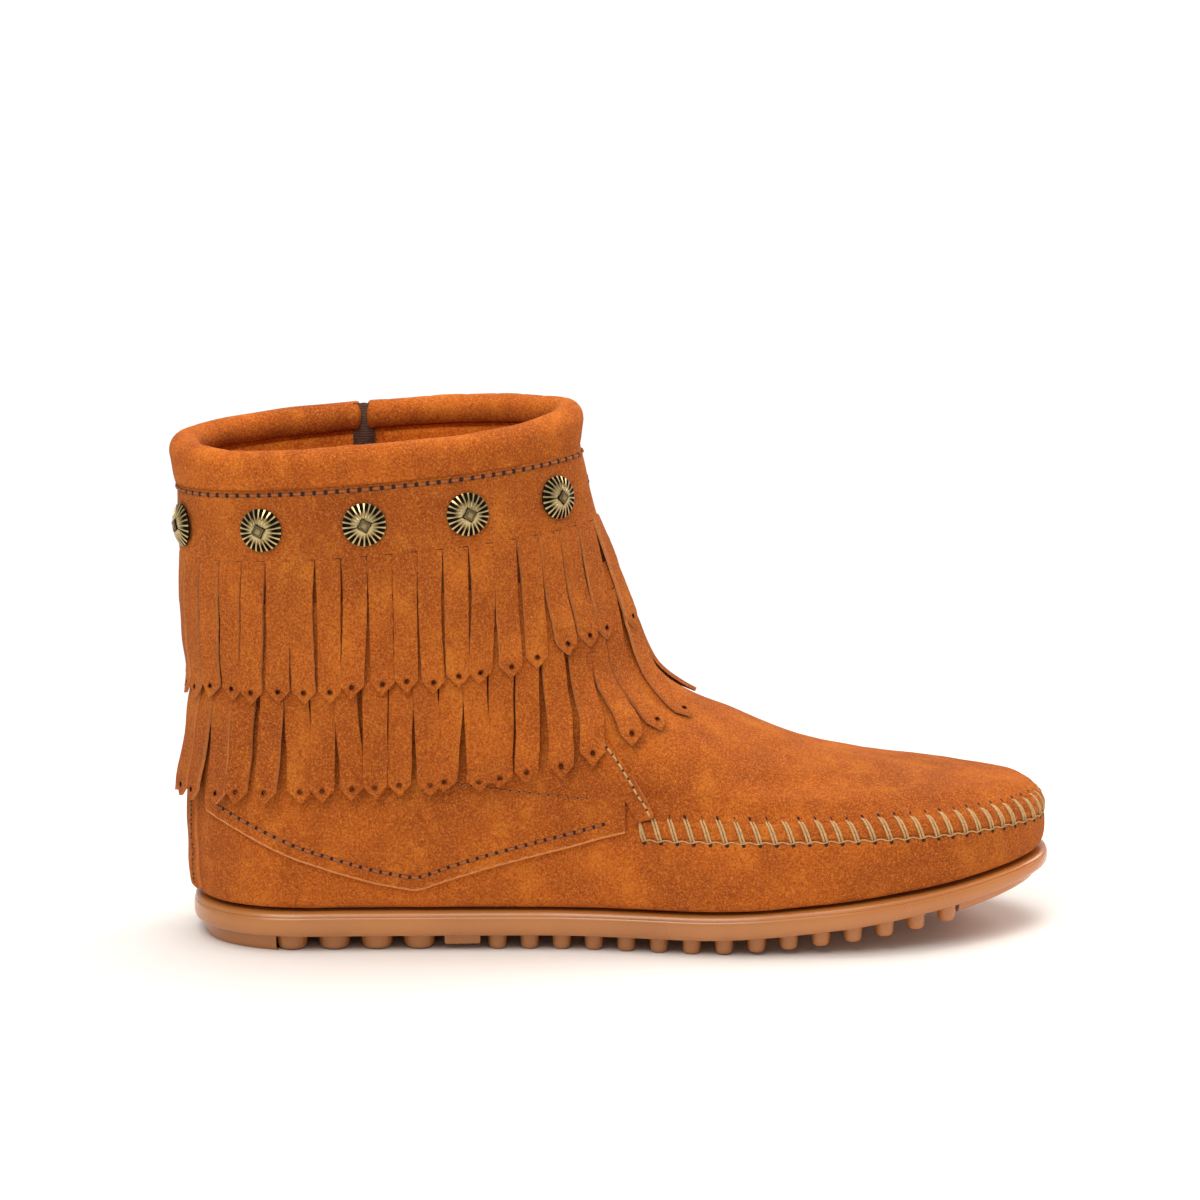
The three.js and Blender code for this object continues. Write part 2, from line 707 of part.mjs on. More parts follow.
// One tier: a band round the shaft with strips cut into its lower part, parted at the zip.
function fringe({ topDrop, slitDrop, length, frontShortening, rowShares, offsetAt }) {
  const ring = girth((around) => levelBelowRim(around, slitDrop));
  const zipPlace = placeOnSide(zipX, rimHeight(0.75) - slitDrop, 1);
  const zipDistance = ringDistance(ring, zipPlace.around);
  const room = ring.total - fringeParting;
  const count = Math.floor(room / stripPitch);
  const pitch = room / count;
  const points = [];
  const triangles = [];
  const bandRows = 2;
  const addPoint = (outer, inner) => points.push({ outer, inner }) - 1;
  const addOnFace = (level, around, offset) => addPoint(
    skinPoint(level, around, offset + fringeThickness), skinPoint(level, around, offset));
  const bandColumn = (around) => Array.from({ length: bandRows }, (unused, row) => {
    const drop = mix(slitDrop, topDrop, row / (bandRows - 1));
    return addOnFace(levelBelowRim(around, drop), around, offsetAt(drop));
  });
  let lastColumn = null;
  for (let strip = 0; strip < count; strip += 1) {
    const middle = zipDistance + fringeParting / 2 + (strip + 0.5) * pitch;
    const arounds = [-0.5, 0.5].map((share) => ring.aroundAt((middle + share * stripWidth) % ring.total));
    const columns = arounds.map(bandColumn);
    const pairs = lastColumn ? [[lastColumn, columns[0]], columns] : [columns];
    for (const [left, right] of pairs) {
      for (let row = 0; row < bandRows - 1; row += 1) {
        triangles.push([left[row], right[row], right[row + 1]], [left[row], right[row + 1], left[row + 1]]);
      }
    }
    lastColumn = columns[1];
    hangStrip(ring.aroundAt(middle % ring.total), columns[0][0], columns[1][0]);
  }

  function hangStrip(around, left, right) {
    const frontness = Math.max(0, -Math.cos(2 * Math.PI * around));
    const reach = length - frontShortening * frontness ** 2;
    const body = reach - stripTipLength;
    const distances = rowShares.map((share) => body * share);
    distances.push(reach);
    const path = fallPath(levelBelowRim(around, slitDrop), around, distances);
    let edge = [left, right];
    for (let row = 1; row < path.length; row += 1) {
      const place = path[row];
      const { normal, rise } = faceFrame(place.level, place.around);
      const sideways = new THREE.Vector3().crossVectors(rise, normal).normalize();
      const offset = offsetAt(slitDrop + distances[row - 1]);
      const centre = skinPoint(place.level, place.around, offset);
      if (row === path.length - 1) {
        const tip = addPoint(centre.clone().addScaledVector(normal, fringeThickness), centre);
        triangles.push([tip, edge[1], edge[0]]);
      } else {
        const next = [-0.5, 0.5].map((share) => {
          const inner = centre.clone().addScaledVector(sideways, share * stripWidth);
          return addPoint(inner.clone().addScaledVector(normal, fringeThickness), inner);
        });
        triangles.push([next[0], next[1], edge[1]], [next[0], edge[1], edge[0]]);
        edge = next;
      }
    }
  }
  return sheetSolid(points, triangles);
}

function ringDistance(ring, around) {
  let low = 0;
  let high = ring.total;
  for (let step = 0; step < 30; step += 1) {
    const middle = (low + high) / 2;
    if (ring.aroundAt(middle) < around) low = middle;
    else high = middle;
  }
  return (low + high) / 2;
}

const quarterCover = layerGap + overlayThickness + clearance;
const quarterDrop = 80;
const tierGap = 0.5;

// Offsets of the tiers from the face: the lower tier clears the quarter, the upper one the lower.
function lowerOffset(drop) {
  const onShaft = limit((drop - lowerBandDrop) / (quarterDrop - lowerBandDrop), 0, 1);
  const below = limit((drop - quarterDrop) / (lowerBandDrop + lowerStripLength - quarterDrop), 0, 1);
  return layerGap + onShaft * (quarterCover - layerGap) + below * fringeFlare;
}

function upperOffset(drop) {
  const onBand = limit((drop - upperSlitDrop) / (lowerBandDrop - upperSlitDrop), 0, 1);
  return lowerOffset(drop) + onBand * (fringeThickness + tierGap);
}

const fringeUpper = () => fringe({
  topDrop: bandTopDrop,
  slitDrop: upperSlitDrop,
  length: upperStripLength,
  frontShortening: upperFrontShortening,
  rowShares: [0.4, 1],
  offsetAt: upperOffset,
});

const fringeLower = () => fringe({
  topDrop: lowerBandDrop,
  slitDrop: lowerBandDrop + lowerBandHeight,
  length: lowerStripLength,
  frontShortening: lowerFrontShortening,
  rowShares: [0.34, 0.67, 1],
  offsetAt: lowerOffset,
});

// Collar: a padded roll over the rim, parted at the zip

const rollSteps = 38;
const rollSides = 8;
const rollParting = 1.6;

function collarRoll() {
  const ring = girth(() => rimLevel);
  const zipPlace = placeOnSide(zipX, rimHeight(0.75), 1);
  const zipDistance = ringDistance(ring, zipPlace.around);
  const sectionShape = Array.from({ length: rollSides }, (unused, side) => {
    const angle = (Math.PI * 2 * (side + 0.5)) / rollSides - Math.PI / 2;
    return { out: Math.cos(angle) * rollRadius, up: Math.max(Math.sin(angle) * rollRadius, -rollFlat) };
  });
  const rings = Array.from({ length: rollSteps + 1 }, (unused, step) => {
    const distance = zipDistance + mix(rollParting / 2, ring.total - rollParting / 2, step / rollSteps);
    const around = ring.aroundAt(distance % ring.total);
    const { normal } = faceFrame(rimLevel, around);
    const outwards = new THREE.Vector3(normal.x, normal.y, 0).normalize();
    const middle = skinPoint(rimLevel, around, -wallThickness / 2);
    middle.z += rollFlat + clearance;
    return sectionShape.map((corner) => middle.clone()
      .addScaledVector(outwards, corner.out).add(new THREE.Vector3(0, 0, corner.up)));
  });
  const faces = gridTriangles(rollSides, rings.length, true).map(([a, b, c]) => [a, c, b]).flat();
  const end = (rings.length - 1) * rollSides;
  for (let side = 1; side < rollSides - 1; side += 1) {
    faces.push(0, side, side + 1, end, end + side + 1, end + side);
  }
  return bufferFrom(rings.flat().flatMap((point) => [point.x, point.y, point.z]), faces);
}

// Conchos: domed discs spaced round the upper band, none at the zip

const conchoSides = 10;
const conchoProfile = [
  { radius: 1, height: 0 },
  { radius: 0.95, height: 0.34 },
  { radius: 0.4, height: 0.9 },
];

function concho() {
  const outline = [
    new THREE.Vector2(0, 0),
    ...conchoProfile.map((row) => new THREE.Vector2(row.radius * conchoDiameter / 2, row.height * conchoHeight)),
    new THREE.Vector2(0, conchoHeight),
  ];
  return new THREE.LatheGeometry(outline, conchoSides).rotateX(Math.PI / 2);
}

function placeConchos(group) {
  const ring = girth((around) => levelBelowRim(around, conchoDrop));
  const zipPlace = placeOnSide(zipX, rimHeight(0.75) - conchoDrop, 1);
  const zipDistance = ringDistance(ring, zipPlace.around);
  for (let index = 0; index < conchoCount; index += 1) {
    const fromMiddle = index - (conchoCount - 1) / 2;
    const distance = zipDistance + ring.total / 2 + fromMiddle * conchoPitch + conchoShift;
    const around = ring.aroundAt(distance % ring.total);
    const level = levelBelowRim(around, conchoDrop);
    const { normal } = faceFrame(level, around);
    const mesh = new THREE.Mesh(concho(), brass);
    mesh.name = `concho_${String(index + 1).padStart(2, '0')}`;
    mesh.position.copy(skinPoint(level, around, layerGap + fringeThickness + clearance));
    mesh.quaternion.setFromUnitVectors(new THREE.Vector3(0, 0, 1), normal);
    group.add(mesh);
  }
}

// Zip: tape with its chain behind the slit, slider below the collar, pull tab on the slider

const tapeTop = () => rimHeight(0.75) - clearance * 4;

const zipRows = 9;

function zipStrip(width, inner, outer, low, high, rows) {
  const points = [];
  for (let row = 0; row <= rows; row += 1) {
    for (const share of [0.5, 0.167, -0.167, -0.5]) {
      const place = placeOnSide(zipX + share * width, mix(low, high, row / rows), 1);
      points.push({
        outer: skinPoint(place.level, place.around, outer),
        inner: skinPoint(place.level, place.around, inner),
      });
    }
  }
  return toManifold(sheetSolid(points, gridTriangles(4, rows + 1)));
}

function zipTape() {
  const face = -wallThickness - layerGap;
  const low = zipBottom - tapeWidth / 4;
  const tape = zipStrip(tapeWidth, face - tapeThickness, face, low, tapeTop(), zipRows);
  const chain = zipStrip(chainWidth, face - tapeThickness / 2, face + chainHeight, zipBottom + 2, tapeTop() - 1, zipRows);
  return fromManifold(tape.add(chain));
}

const sliderHeight = () => rimHeight(0.75) - sliderDrop;
const sliderFaceY = () => {
  const place = placeOnSide(zipX, sliderHeight(), 1);
  return skinPoint(place.level, place.around, clearance * 2).y;
};

// Arch over the pivot bar: its legs stand apart along Z, its bridge joins them.
const pivotY = () => sliderFaceY() + sliderThickness + pivotBarDiameter / 2 + pivotPlay;
const archReach = pivotBarDiameter + 2 * pivotPlay + archThickness;

function zipSlider() {
  const y = sliderFaceY();
  const z = sliderHeight();
  const legLength = (archLength - pivotBarDiameter - 4 * pivotPlay) / 2;
  const sink = sliderThickness / 2;
  const plate = toManifold(boxAt(sliderWidth, sliderThickness, sliderLength, zipX, y + sliderThickness / 2, z));
  const legY = y + sliderThickness + (archReach - sink) / 2;
  const legs = [-1, 1].map((end) => toManifold(boxAt(archWidth, archReach + sink, legLength,
    zipX, legY, z + end * (archLength - legLength) / 2)));
  const bridge = toManifold(boxAt(archWidth, archThickness, archLength,
    zipX, y + sliderThickness + archReach - archThickness / 2, z));
  return fromManifold(plate.add(legs[0]).add(legs[1]).add(bridge));
}

// Pull tab, modelled about its pivot bar and hanging down.
function zipPull() {
  const armWidth = (pullWidth - pullHoleWidth) / 2;
  const holeLength = archLength / 2 + pivotPlay * 4;
  const bar = new THREE.CylinderGeometry(pivotBarDiameter / 2, pivotBarDiameter / 2, pullWidth, 8);
  let solid = toManifold(bar.rotateZ(Math.PI / 2));
  for (const side of [-1, 1]) {
    const x = (side * (pullHoleWidth + armWidth)) / 2;
    solid = solid.add(toManifold(boxAt(armWidth, pullThickness, holeLength * 2, x, 0, -holeLength)
      .translate(0, 0, pivotBarDiameter / 2)));
  }
  const blade = pullLength - holeLength;
  const shape = new THREE.Shape();
  shape.moveTo(-pullWidth / 2, 0);
  shape.lineTo(-pullWidth / 2, -blade + pullWidth / 2);
  shape.absarc(0, -blade + pullWidth / 2, pullWidth / 2, Math.PI, Math.PI * 2, false);
  shape.lineTo(pullWidth / 2, 0);
  const plate = new THREE.ExtrudeGeometry(shape, { depth: pullThickness, bevelEnabled: false, curveSegments: 5 });
  plate.rotateX(Math.PI / 2).translate(0, pullThickness / 2, -holeLength);
  return fromManifold(solid.add(toManifold(plate)));
}

// Assembly

const group = new THREE.Group();

function addPart(name, geometry, material) {
  const mesh = new THREE.Mesh(geometry, material);
  mesh.name = name;
  group.add(mesh);
  return mesh;
}

addPart('outsole', outsole(), gumRubber);
addPart('insole', insole(), soleBoard);
addPart('upper', upper(), suede);
addPart('quarter_lateral', quarter(-1), suede);
addPart('quarter_medial', quarter(1), suede);
addPart('front_strip_lateral', frontStrip(-1), suede);
addPart('front_strip_medial', frontStrip(1), suede);
addPart('heel_strip', heelStrip(), suede);
addPart('plug_seam', plugSeam(), suede);
addPart('fringe_lower', fringeLower(), suede);
addPart('fringe_upper', fringeUpper(), suede);
addPart('collar_roll', collarRoll(), suede);
placeConchos(group);
addPart('zip_tape', zipTape(), tapeCloth);
addPart('zip_slider', zipSlider(), brass);
const pull = addPart('zip_pull', zipPull(), brass);
pull.position.set(zipX, pivotY(), sliderHeight());

export default group;
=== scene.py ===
# A suede moccasin ankle boot with two fringe tiers, on a pale floor.
import math

import bpy
import numpy as np
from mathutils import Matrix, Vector


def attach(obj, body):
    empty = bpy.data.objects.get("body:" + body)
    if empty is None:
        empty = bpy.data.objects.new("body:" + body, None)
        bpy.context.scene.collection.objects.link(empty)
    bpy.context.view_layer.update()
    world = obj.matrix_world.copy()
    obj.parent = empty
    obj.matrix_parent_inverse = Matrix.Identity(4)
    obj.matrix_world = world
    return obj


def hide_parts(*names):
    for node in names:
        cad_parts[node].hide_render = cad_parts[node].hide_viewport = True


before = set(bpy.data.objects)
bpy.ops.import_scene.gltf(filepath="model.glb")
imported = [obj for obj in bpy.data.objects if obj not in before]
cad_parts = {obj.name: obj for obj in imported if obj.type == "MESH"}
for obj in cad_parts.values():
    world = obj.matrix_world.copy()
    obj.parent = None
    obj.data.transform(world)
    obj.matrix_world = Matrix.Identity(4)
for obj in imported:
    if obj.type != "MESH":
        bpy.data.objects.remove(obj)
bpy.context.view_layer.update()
mm = 0.001

# Camera

camera = {"azimuth": -3.2, "elevation": 11.3, "distance": 1.5, "frameWidth": 0.3505,
          "target": (0.1061, 0.0, 0.0972), "sensor": 36.0}


def placeCamera():
    turn = math.radians(camera["azimuth"])
    lift = math.radians(camera["elevation"])
    forward = Vector((-math.sin(turn) * math.cos(lift), math.cos(turn) * math.cos(lift), -math.sin(lift)))
    data = bpy.data.cameras.new("camera")
    data.sensor_width = camera["sensor"]
    data.lens = camera["sensor"] * camera["distance"] / camera["frameWidth"]
    data.clip_start = 0.01
    data.clip_end = 30
    eye = bpy.data.objects.new("camera", data)
    eye.location = Vector(camera["target"]) - forward * camera["distance"]
    eye.rotation_euler = forward.to_track_quat("-Z", "Y").to_euler()
    bpy.context.scene.collection.objects.link(eye)
    bpy.context.scene.camera = eye


placeCamera()

# Smooth tables


def slopes(keys, values):
    steps = np.diff(values, axis=-1) / np.diff(keys)
    before, after = steps[..., :-1], steps[..., 1:]
    total = np.where(before * after > 0, before + after, 1.0)
    inner = np.where(before * after > 0, 2 * before * after / total, 0.0)
    ends = np.zeros(values.shape[:-1] + (1,))
    return np.concatenate([ends, inner, ends], axis=-1)


def smooth(keys, values, at):
    # Values hold one row of numbers, or one row for each place.
    keys = np.asarray(keys, dtype=float)
    values = np.asarray(values, dtype=float)
    at = np.asarray(at, dtype=float)
    place = np.clip(at, keys[0], keys[-1])
    index = np.clip(np.searchsorted(keys, place, side="right") - 1, 0, len(keys) - 2)
    slope = slopes(keys, values)

    def pick(rows, where):
        if rows.ndim == 1:
            return rows[where]
        return np.take_along_axis(rows, where[..., None], axis=-1)[..., 0]

    span = keys[index + 1] - keys[index]
    share = (place - keys[index]) / span
    start = pick(values, index)
    rise = pick(values, index + 1) - start
    bend = (3 - 2 * share) * share * share
    startBend = share * (1 - share) ** 2
    endBend = share * share * (share - 1)
    return start + rise * bend + (pick(slope, index) * startBend + pick(slope, index + 1) * endBend) * span


def mix(a, b, share):
    return a + (b - a) * share


def fade(low, high, value):
    share = np.clip((np.asarray(value, dtype=float) - low) / (high - low), 0.0, 1.0)
    return share * share * (3 - 2 * share)


def bell(distance, reach):
    return np.exp(-(np.asarray(distance, dtype=float) / reach) ** 2)


def seeded(*numbers):
    # Repeatable number from 0 to 1.
    value = sum(number * weight for number, weight in zip(numbers, (12.9898, 78.233, 37.719, 4.581)))
    return (math.sin(value) * 43758.5453) % 1.0


def ripple(x, y, z, seed=0.0):
    # Soft repeatable waves in place, from -1 to 1.
    a = np.sin(0.071 * x + 0.113 * z + 1.3 + seed) * np.sin(0.093 * y - 0.052 * z + 2.1 * seed)
    b = np.sin(0.167 * x - 0.141 * z + 0.7 * seed) * np.sin(0.121 * z + 0.201 * y + seed)
    return 0.62 * a + 0.38 * b


# Sole: plan outline and side curve, in millimetres

sole = {"length": 252.0, "ballWidth": 86.0, "heelWidth": 62.0, "setback": 13.4, "pegHeight": 4.7,
        "bandHeight": 7.4, "toeSpring": 13.5, "toeThinning": 2.6, "heelRound": 0.13, "toeRound": 0.21,
        "roundPower": 2.2, "springStart": 0.565, "springPower": 1.6,
        "keys": [0.0, 0.14, 0.4, 0.66, 0.74, 0.85, 1.0],
        "lateral": [0.36, 0.364, 0.39, 0.52, 0.52, 0.468, 0.39],
        "medial": [0.36, 0.362, 0.328, 0.472, 0.492, 0.49, 0.42]}
soleBack = -sole["setback"]
soleTip = soleBack + sole["length"]


def soleX(share):
    return soleBack + share * sole["length"]


def roundEnd(share, length):
    away = (length - np.clip(share, 0.0, length)) / length
    return (1 - away ** sole["roundPower"]) ** (1 / sole["roundPower"])


def outlineHalf(share, side):
    half = smooth(sole["keys"], sole["lateral" if side < 0 else "medial"], share) * sole["ballWidth"]
    return half * roundEnd(share, sole["heelRound"]) * roundEnd(1 - share, sole["toeRound"])


def springShare(x):
    start = soleX(sole["springStart"])
    share = np.clip((np.asarray(x, dtype=float) - start) / (soleTip - start), 0.0, 1.05)
    return share ** sole["springPower"]


def soleBase(x):
    return sole["pegHeight"] + sole["toeSpring"] * springShare(x)


def soleTop(x):
    return soleBase(x) + sole["bandHeight"] - sole["toeThinning"] * springShare(x)


# Upper: sections from the feather edge to the collar rim

upper = {"instep": 70.5, "shaftBack": -15.0, "shaftLength": 112.0, "shaftWidth": 62.0, "backRim": 139.5,
         "frontRim": 148.2, "wall": 2.0, "clearance": 0.3, "tipShare": 0.82,
         "stations": [0.0, 0.14, 0.4, 0.66, 0.85, 1.0]}
# Back and front ends (X, Z), whether the row follows the sole, half widths at heel, waist, ball and
# toe on the lateral and the medial side, and how far the back and front ends are rounded.
footTable = [
    [0.026, 0.0, 0.968, 0.0, 1, 0.4, 0.318, 0.44, 0.39, 0.4, 0.256, 0.4, 0.41, 0.13, 0.21],
    [0.004, 0.022, 0.993, 0.022, 1, 0.486, 0.376, 0.506, 0.452, 0.486, 0.314, 0.465, 0.474, 0.13, 0.21],
    [-0.002, 0.383, 0.996, 0.42, 0, 0.51, 0.393, 0.519, 0.465, 0.508, 0.335, 0.481, 0.488, 0.13, 0.2],
    [0.0, 0.54, 0.992, 0.52, 0, 0.506, 0.39, 0.497, 0.445, 0.5, 0.348, 0.466, 0.468, 0.14, 0.21],
    [0.003, 0.681, 0.972, 0.606, 0, 0.5, 0.384, 0.463, 0.372, 0.497, 0.358, 0.44, 0.384, 0.15, 0.25],
    [0.006, 0.794, 0.867, 0.66, 0, 0.492, 0.379, 0.44, 0.352, 0.489, 0.364, 0.425, 0.36, 0.17, 0.3],
    [0.0071, 0.908, 0.736, 0.752, 0, 0.488, 0.379, 0.416, 0.38, 0.484, 0.37, 0.405, 0.378, 0.2, 0.27],
    [0.0085, 1.021, 0.642, 0.885, 0, 0.484, 0.384, 0.386, 0.36, 0.484, 0.38, 0.382, 0.36, 0.24, 0.3],
    [0.0085, 1.135, 0.578, 0.985, 0, 0.484, 0.388, 0.378, 0.348, 0.484, 0.384, 0.374, 0.348, 0.28, 0.36],
]
shaftTable = [
    [0.027, 0.149, 1.23, 0.097, 0, 0.484, 0.535, 0.518, 0.472, 0.484, 0.53, 0.514, 0.472, 0.32, 0.4],
    [0.02, 0.296, 1.165, 0.266, 0, 0.486, 0.53, 0.512, 0.462, 0.486, 0.527, 0.51, 0.462, 0.36, 0.44],
    [0.007, 0.493, 1.1, 0.503, 0, 0.49, 0.522, 0.506, 0.455, 0.49, 0.52, 0.505, 0.455, 0.4, 0.48],
    [0.0, 0.747, 1.047, 0.737, 0, 0.495, 0.51, 0.5, 0.452, 0.495, 0.51, 0.5, 0.452, 0.43, 0.5],
    [0.0, 1.0, 1.008, 1.0, 0, 0.5, 0.503, 0.495, 0.45, 0.5, 0.503, 0.495, 0.45, 0.45, 0.5],
]


def sectionRows():
    foot = np.array(footTable, dtype=float)
    shaft = np.array(shaftTable, dtype=float)
    foot[:, [0, 2]] = soleX(foot[:, [0, 2]])
    foot[:, [1, 3]] *= upper["instep"]
    foot[:, [5, 9]] *= sole["heelWidth"]
    foot[:, [6, 7, 8, 10, 11, 12]] *= sole["ballWidth"]
    shaft[:, [0, 2]] = upper["shaftBack"] + shaft[:, [0, 2]] * upper["shaftLength"]
    shaft[:, 1] = mix(foot[-1, 1], upper["backRim"], shaft[:, 1])
    shaft[:, 3] = mix(foot[-1, 3], upper["frontRim"], shaft[:, 3])
    shaft[:, 5:13] *= upper["shaftWidth"]
    return np.concatenate([foot, shaft])


sections = sectionRows()
sectionKeys = np.arange(len(sections), dtype=float)
rimLevel = float(len(sections) - 1)


def face(level, around):
    # Points of the upper's outer face. Around goes from the back over the lateral side (0.25) to the
    # front (0.5) and back over the medial side (0.75).
    level, around = np.broadcast_arrays(np.asarray(level, dtype=float), np.asarray(around, dtype=float))
    level = np.clip(level, 0.0, rimLevel)
    columns = [smooth(sectionKeys, sections[:, column], level) for column in range(sections.shape[1])]
    turn = around % 1.0
    lateral = turn <= 0.5
    half = np.where(lateral, turn * 2, (1 - turn) * 2)
    along = (1 - np.cos(np.pi * half)) / 2
    heel, waist, ball, toe = [np.where(lateral, columns[5 + item], columns[9 + item]) for item in range(4)]
    widths = np.stack([heel, heel, waist, ball, toe, toe * upper["tipShare"]], axis=-1)
    ends = roundEnd(along, columns[13]) * roundEnd(1 - along, columns[14])
    x = mix(columns[0], columns[2], along)
    y = np.where(lateral, -1.0, 1.0) * smooth(upper["stations"], widths, along) * ends
    z = mix(columns[1], columns[3], along) + columns[4] * (soleTop(x) + upper["clearance"])
    return np.stack([x, y, z], axis=-1)


probe = 0.004


def frameAt(level, around):
    level, around = np.broadcast_arrays(np.asarray(level, dtype=float), np.asarray(around, dtype=float))
    high = np.clip(level + probe, 0.0, rimLevel)
    low = np.clip(level - probe, 0.0, rimLevel)
    rise = (face(high, around) - face(low, around)) / (high - low)[..., None]
    run = (face(level, around + probe) - face(level, around - probe)) / (2 * probe)
    normal = np.cross(run, rise)
    return rise, run, normal / np.linalg.norm(normal, axis=-1, keepdims=True)


def levelAtHeight(around, height):
    around, height = np.broadcast_arrays(np.asarray(around, dtype=float), np.asarray(height, dtype=float))
    low = np.zeros(around.shape)
    high = np.full(around.shape, rimLevel)
    for _ in range(24):
        middle = (low + high) / 2
        under = face(middle, around)[..., 2] < height
        low = np.where(under, middle, low)
        high = np.where(under, high, middle)
    return (low + high) / 2


def aroundAtX(level, x, side):
    level, x = np.broadcast_arrays(np.asarray(level, dtype=float), np.asarray(x, dtype=float))
    back = smooth(sectionKeys, sections[:, 0], level)
    front = smooth(sectionKeys, sections[:, 2], level)
    along = np.clip((x - back) / (front - back), 0.0, 1.0)
    half = np.arccos(1 - 2 * along) / np.pi
    return half / 2 if side < 0 else 1 - half / 2


def placeOnSide(x, height, side):
    x, height = np.broadcast_arrays(np.asarray(x, dtype=float), np.asarray(height, dtype=float))
    level = np.full(x.shape, rimLevel / 2)
    around = aroundAtX(level, x, side)
    for _ in range(12):
        level = levelAtHeight(around, height)
        around = aroundAtX(level, x, side)
    return level, around


def rimHeight(around):
    return face(rimLevel, around)[..., 2]


def levelBelowRim(around, drop):
    return levelAtHeight(around, rimHeight(around) - drop)


def distances(points):
    # Distance of each point of a line from its start.
    steps = np.linalg.norm(np.diff(points, axis=0), axis=-1)
    return np.concatenate([[0.0], np.cumsum(steps)])


class Ring:
    # Distance round the boot along a closed line of levels, from the back over the lateral side.
    def __init__(self, levelAt):
        shares = np.linspace(0.0, 1.0, 481)
        self.shares = shares
        self.lengths = distances(face(levelAt(shares), shares))
        self.total = self.lengths[-1]

    def aroundAt(self, distance):
        return np.interp(np.mod(distance, self.total), self.lengths, self.shares)

    def distanceAt(self, around):
        return np.interp(np.mod(around, 1.0), self.shares, self.lengths)

# Creases of the suede: soft troughs and ridges in the boot's own places, in millimetres

# Lines on the side of the boot as (X, Z) ends, with their depth, half width and side (0 for both).
creaseColumns = ["x0", "z0", "x1", "z1", "depth", "reach", "side"]
creaseTable = [
    [4.0, 96.0, 44.0, 84.0, -0.9, 7.0, 0],
    [-10.0, 78.0, 26.0, 72.0, -1.0, 6.0, 0],
    [58.0, 92.0, 96.0, 106.0, -0.9, 7.0, 0],
    [70.0, 68.0, 108.0, 80.0, -1.2, 7.0, 0],
    [10.0, 58.0, 52.0, 50.0, -0.7, 8.0, -1],
    [-12.0, 27.0, 14.0, 20.0, -0.6, 6.0, 0],
    [92.0, 46.0, 116.0, 30.0, -0.7, 7.0, -1],
    [120.0, 56.0, 150.0, 42.0, -0.8, 8.0, 0],
    [148.0, 50.0, 176.0, 40.0, -0.7, 7.0, 0],
    [176.0, 22.0, 196.0, 32.0, 0.5, 9.0, -1],
]


def segmentDistance(x, z, row):
    spanX, spanZ = row["x1"] - row["x0"], row["z1"] - row["z0"]
    share = ((x - row["x0"]) * spanX + (z - row["z0"]) * spanZ) / (spanX ** 2 + spanZ ** 2)
    share = np.clip(share, 0.0, 1.0)
    return np.hypot(x - row["x0"] - share * spanX, z - row["z0"] - share * spanZ)


# The moccasin seam runs round the toe from one diagonal strip to the other, on one level.
seam = {"pitch": 4.75, "start": 0.512, "level": 3.0}


def seamTables():
    seam["from"] = float(aroundAtX(seam["level"], soleX(seam["start"]), -1))
    seam["to"] = float(aroundAtX(seam["level"], soleX(seam["start"]), 1))
    seam["arounds"] = np.linspace(seam["from"], seam["to"], 600)
    seam["lengths"] = distances(face(seam["level"], seam["arounds"]))
    seam["length"] = float(seam["lengths"][-1])


seamTables()


def seamAround(distance):
    return np.interp(distance, seam["lengths"], seam["arounds"])


def seamLevel(around, above):
    # Level at a distance above the middle of the seam.
    return seam["level"] + above / np.linalg.norm(frameAt(seam["level"], around)[0], axis=-1)


def seamPhase(around):
    return 2 * np.pi * np.interp(around % 1.0, seam["arounds"], seam["lengths"]) / seam["pitch"]


def crease(level, around):
    place = face(level, around)
    x, y, z = place[..., 0], place[..., 1], place[..., 2]
    depth = 0.28 * ripple(x, y, z) + 0.14 * ripple(x * 2.3, y * 2.3, z * 2.3, 1.7)
    for values in creaseTable:
        row = dict(zip(creaseColumns, values))
        onSide = 1.0 if row["side"] == 0 else fade(0.0, 8.0, y * row["side"])
        depth = depth + onSide * row["depth"] * bell(segmentDistance(x, z, row), row["reach"])
    # The gathered seam pulls the suede in on both sides of its roll, most at each stitch.
    onToe = fade(soleX(0.5), soleX(0.53), x)
    phase = seamPhase(around)
    pleats = -0.42 * np.cos(phase) * bell(level - 3.42, 0.36) * fade(2.9, 3.1, level)
    lower = -0.2 * np.cos(phase) * bell(level - 2.7, 0.18)
    depth = depth + onToe * (pleats + lower - 0.45 * bell(level - 3.0, 0.3))
    # Still next to the sole and under the collar.
    return depth * fade(0.0, 1.3, level) * fade(0.0, 0.8, rimLevel - level)


def skin(level, around, offset=0.0):
    # Point that stands off the creased face.
    normal = frameAt(level, around)[2]
    lift = np.asarray(offset, dtype=float) + crease(level, around)
    return face(level, around) + normal * lift[..., None]


# Meshes


def placeLayer(data):
    # The uv layer that the materials read.
    return data.uv_layers.get("place") or data.uv_layers.new(name="place")


def meshObject(name, points, faces, material, uv=None, smoothShading=True):
    # Points in millimetres. Uv has one row for each point.
    data = bpy.data.meshes.new(name)
    points = np.asarray(points, dtype=float) * mm
    data.from_pydata(points.tolist(), [], faces if isinstance(faces, list) else faces.tolist())
    if uv is not None:
        layer = placeLayer(data)
        corners = np.empty(len(data.loops), dtype=np.int32)
        data.loops.foreach_get("vertex_index", corners)
        layer.data.foreach_set("uv", np.asarray(uv, dtype=np.float32)[corners].ravel())
    data.polygons.foreach_set("use_smooth", np.full(len(data.polygons), smoothShading))
    data.materials.append(material)
    data.update()
    piece = bpy.data.objects.new(name, data)
    bpy.context.scene.collection.objects.link(piece)
    return piece


def only(piece):
    bpy.ops.object.select_all(action="DESELECT")
    bpy.context.view_layer.objects.active = piece
    piece.select_set(True)


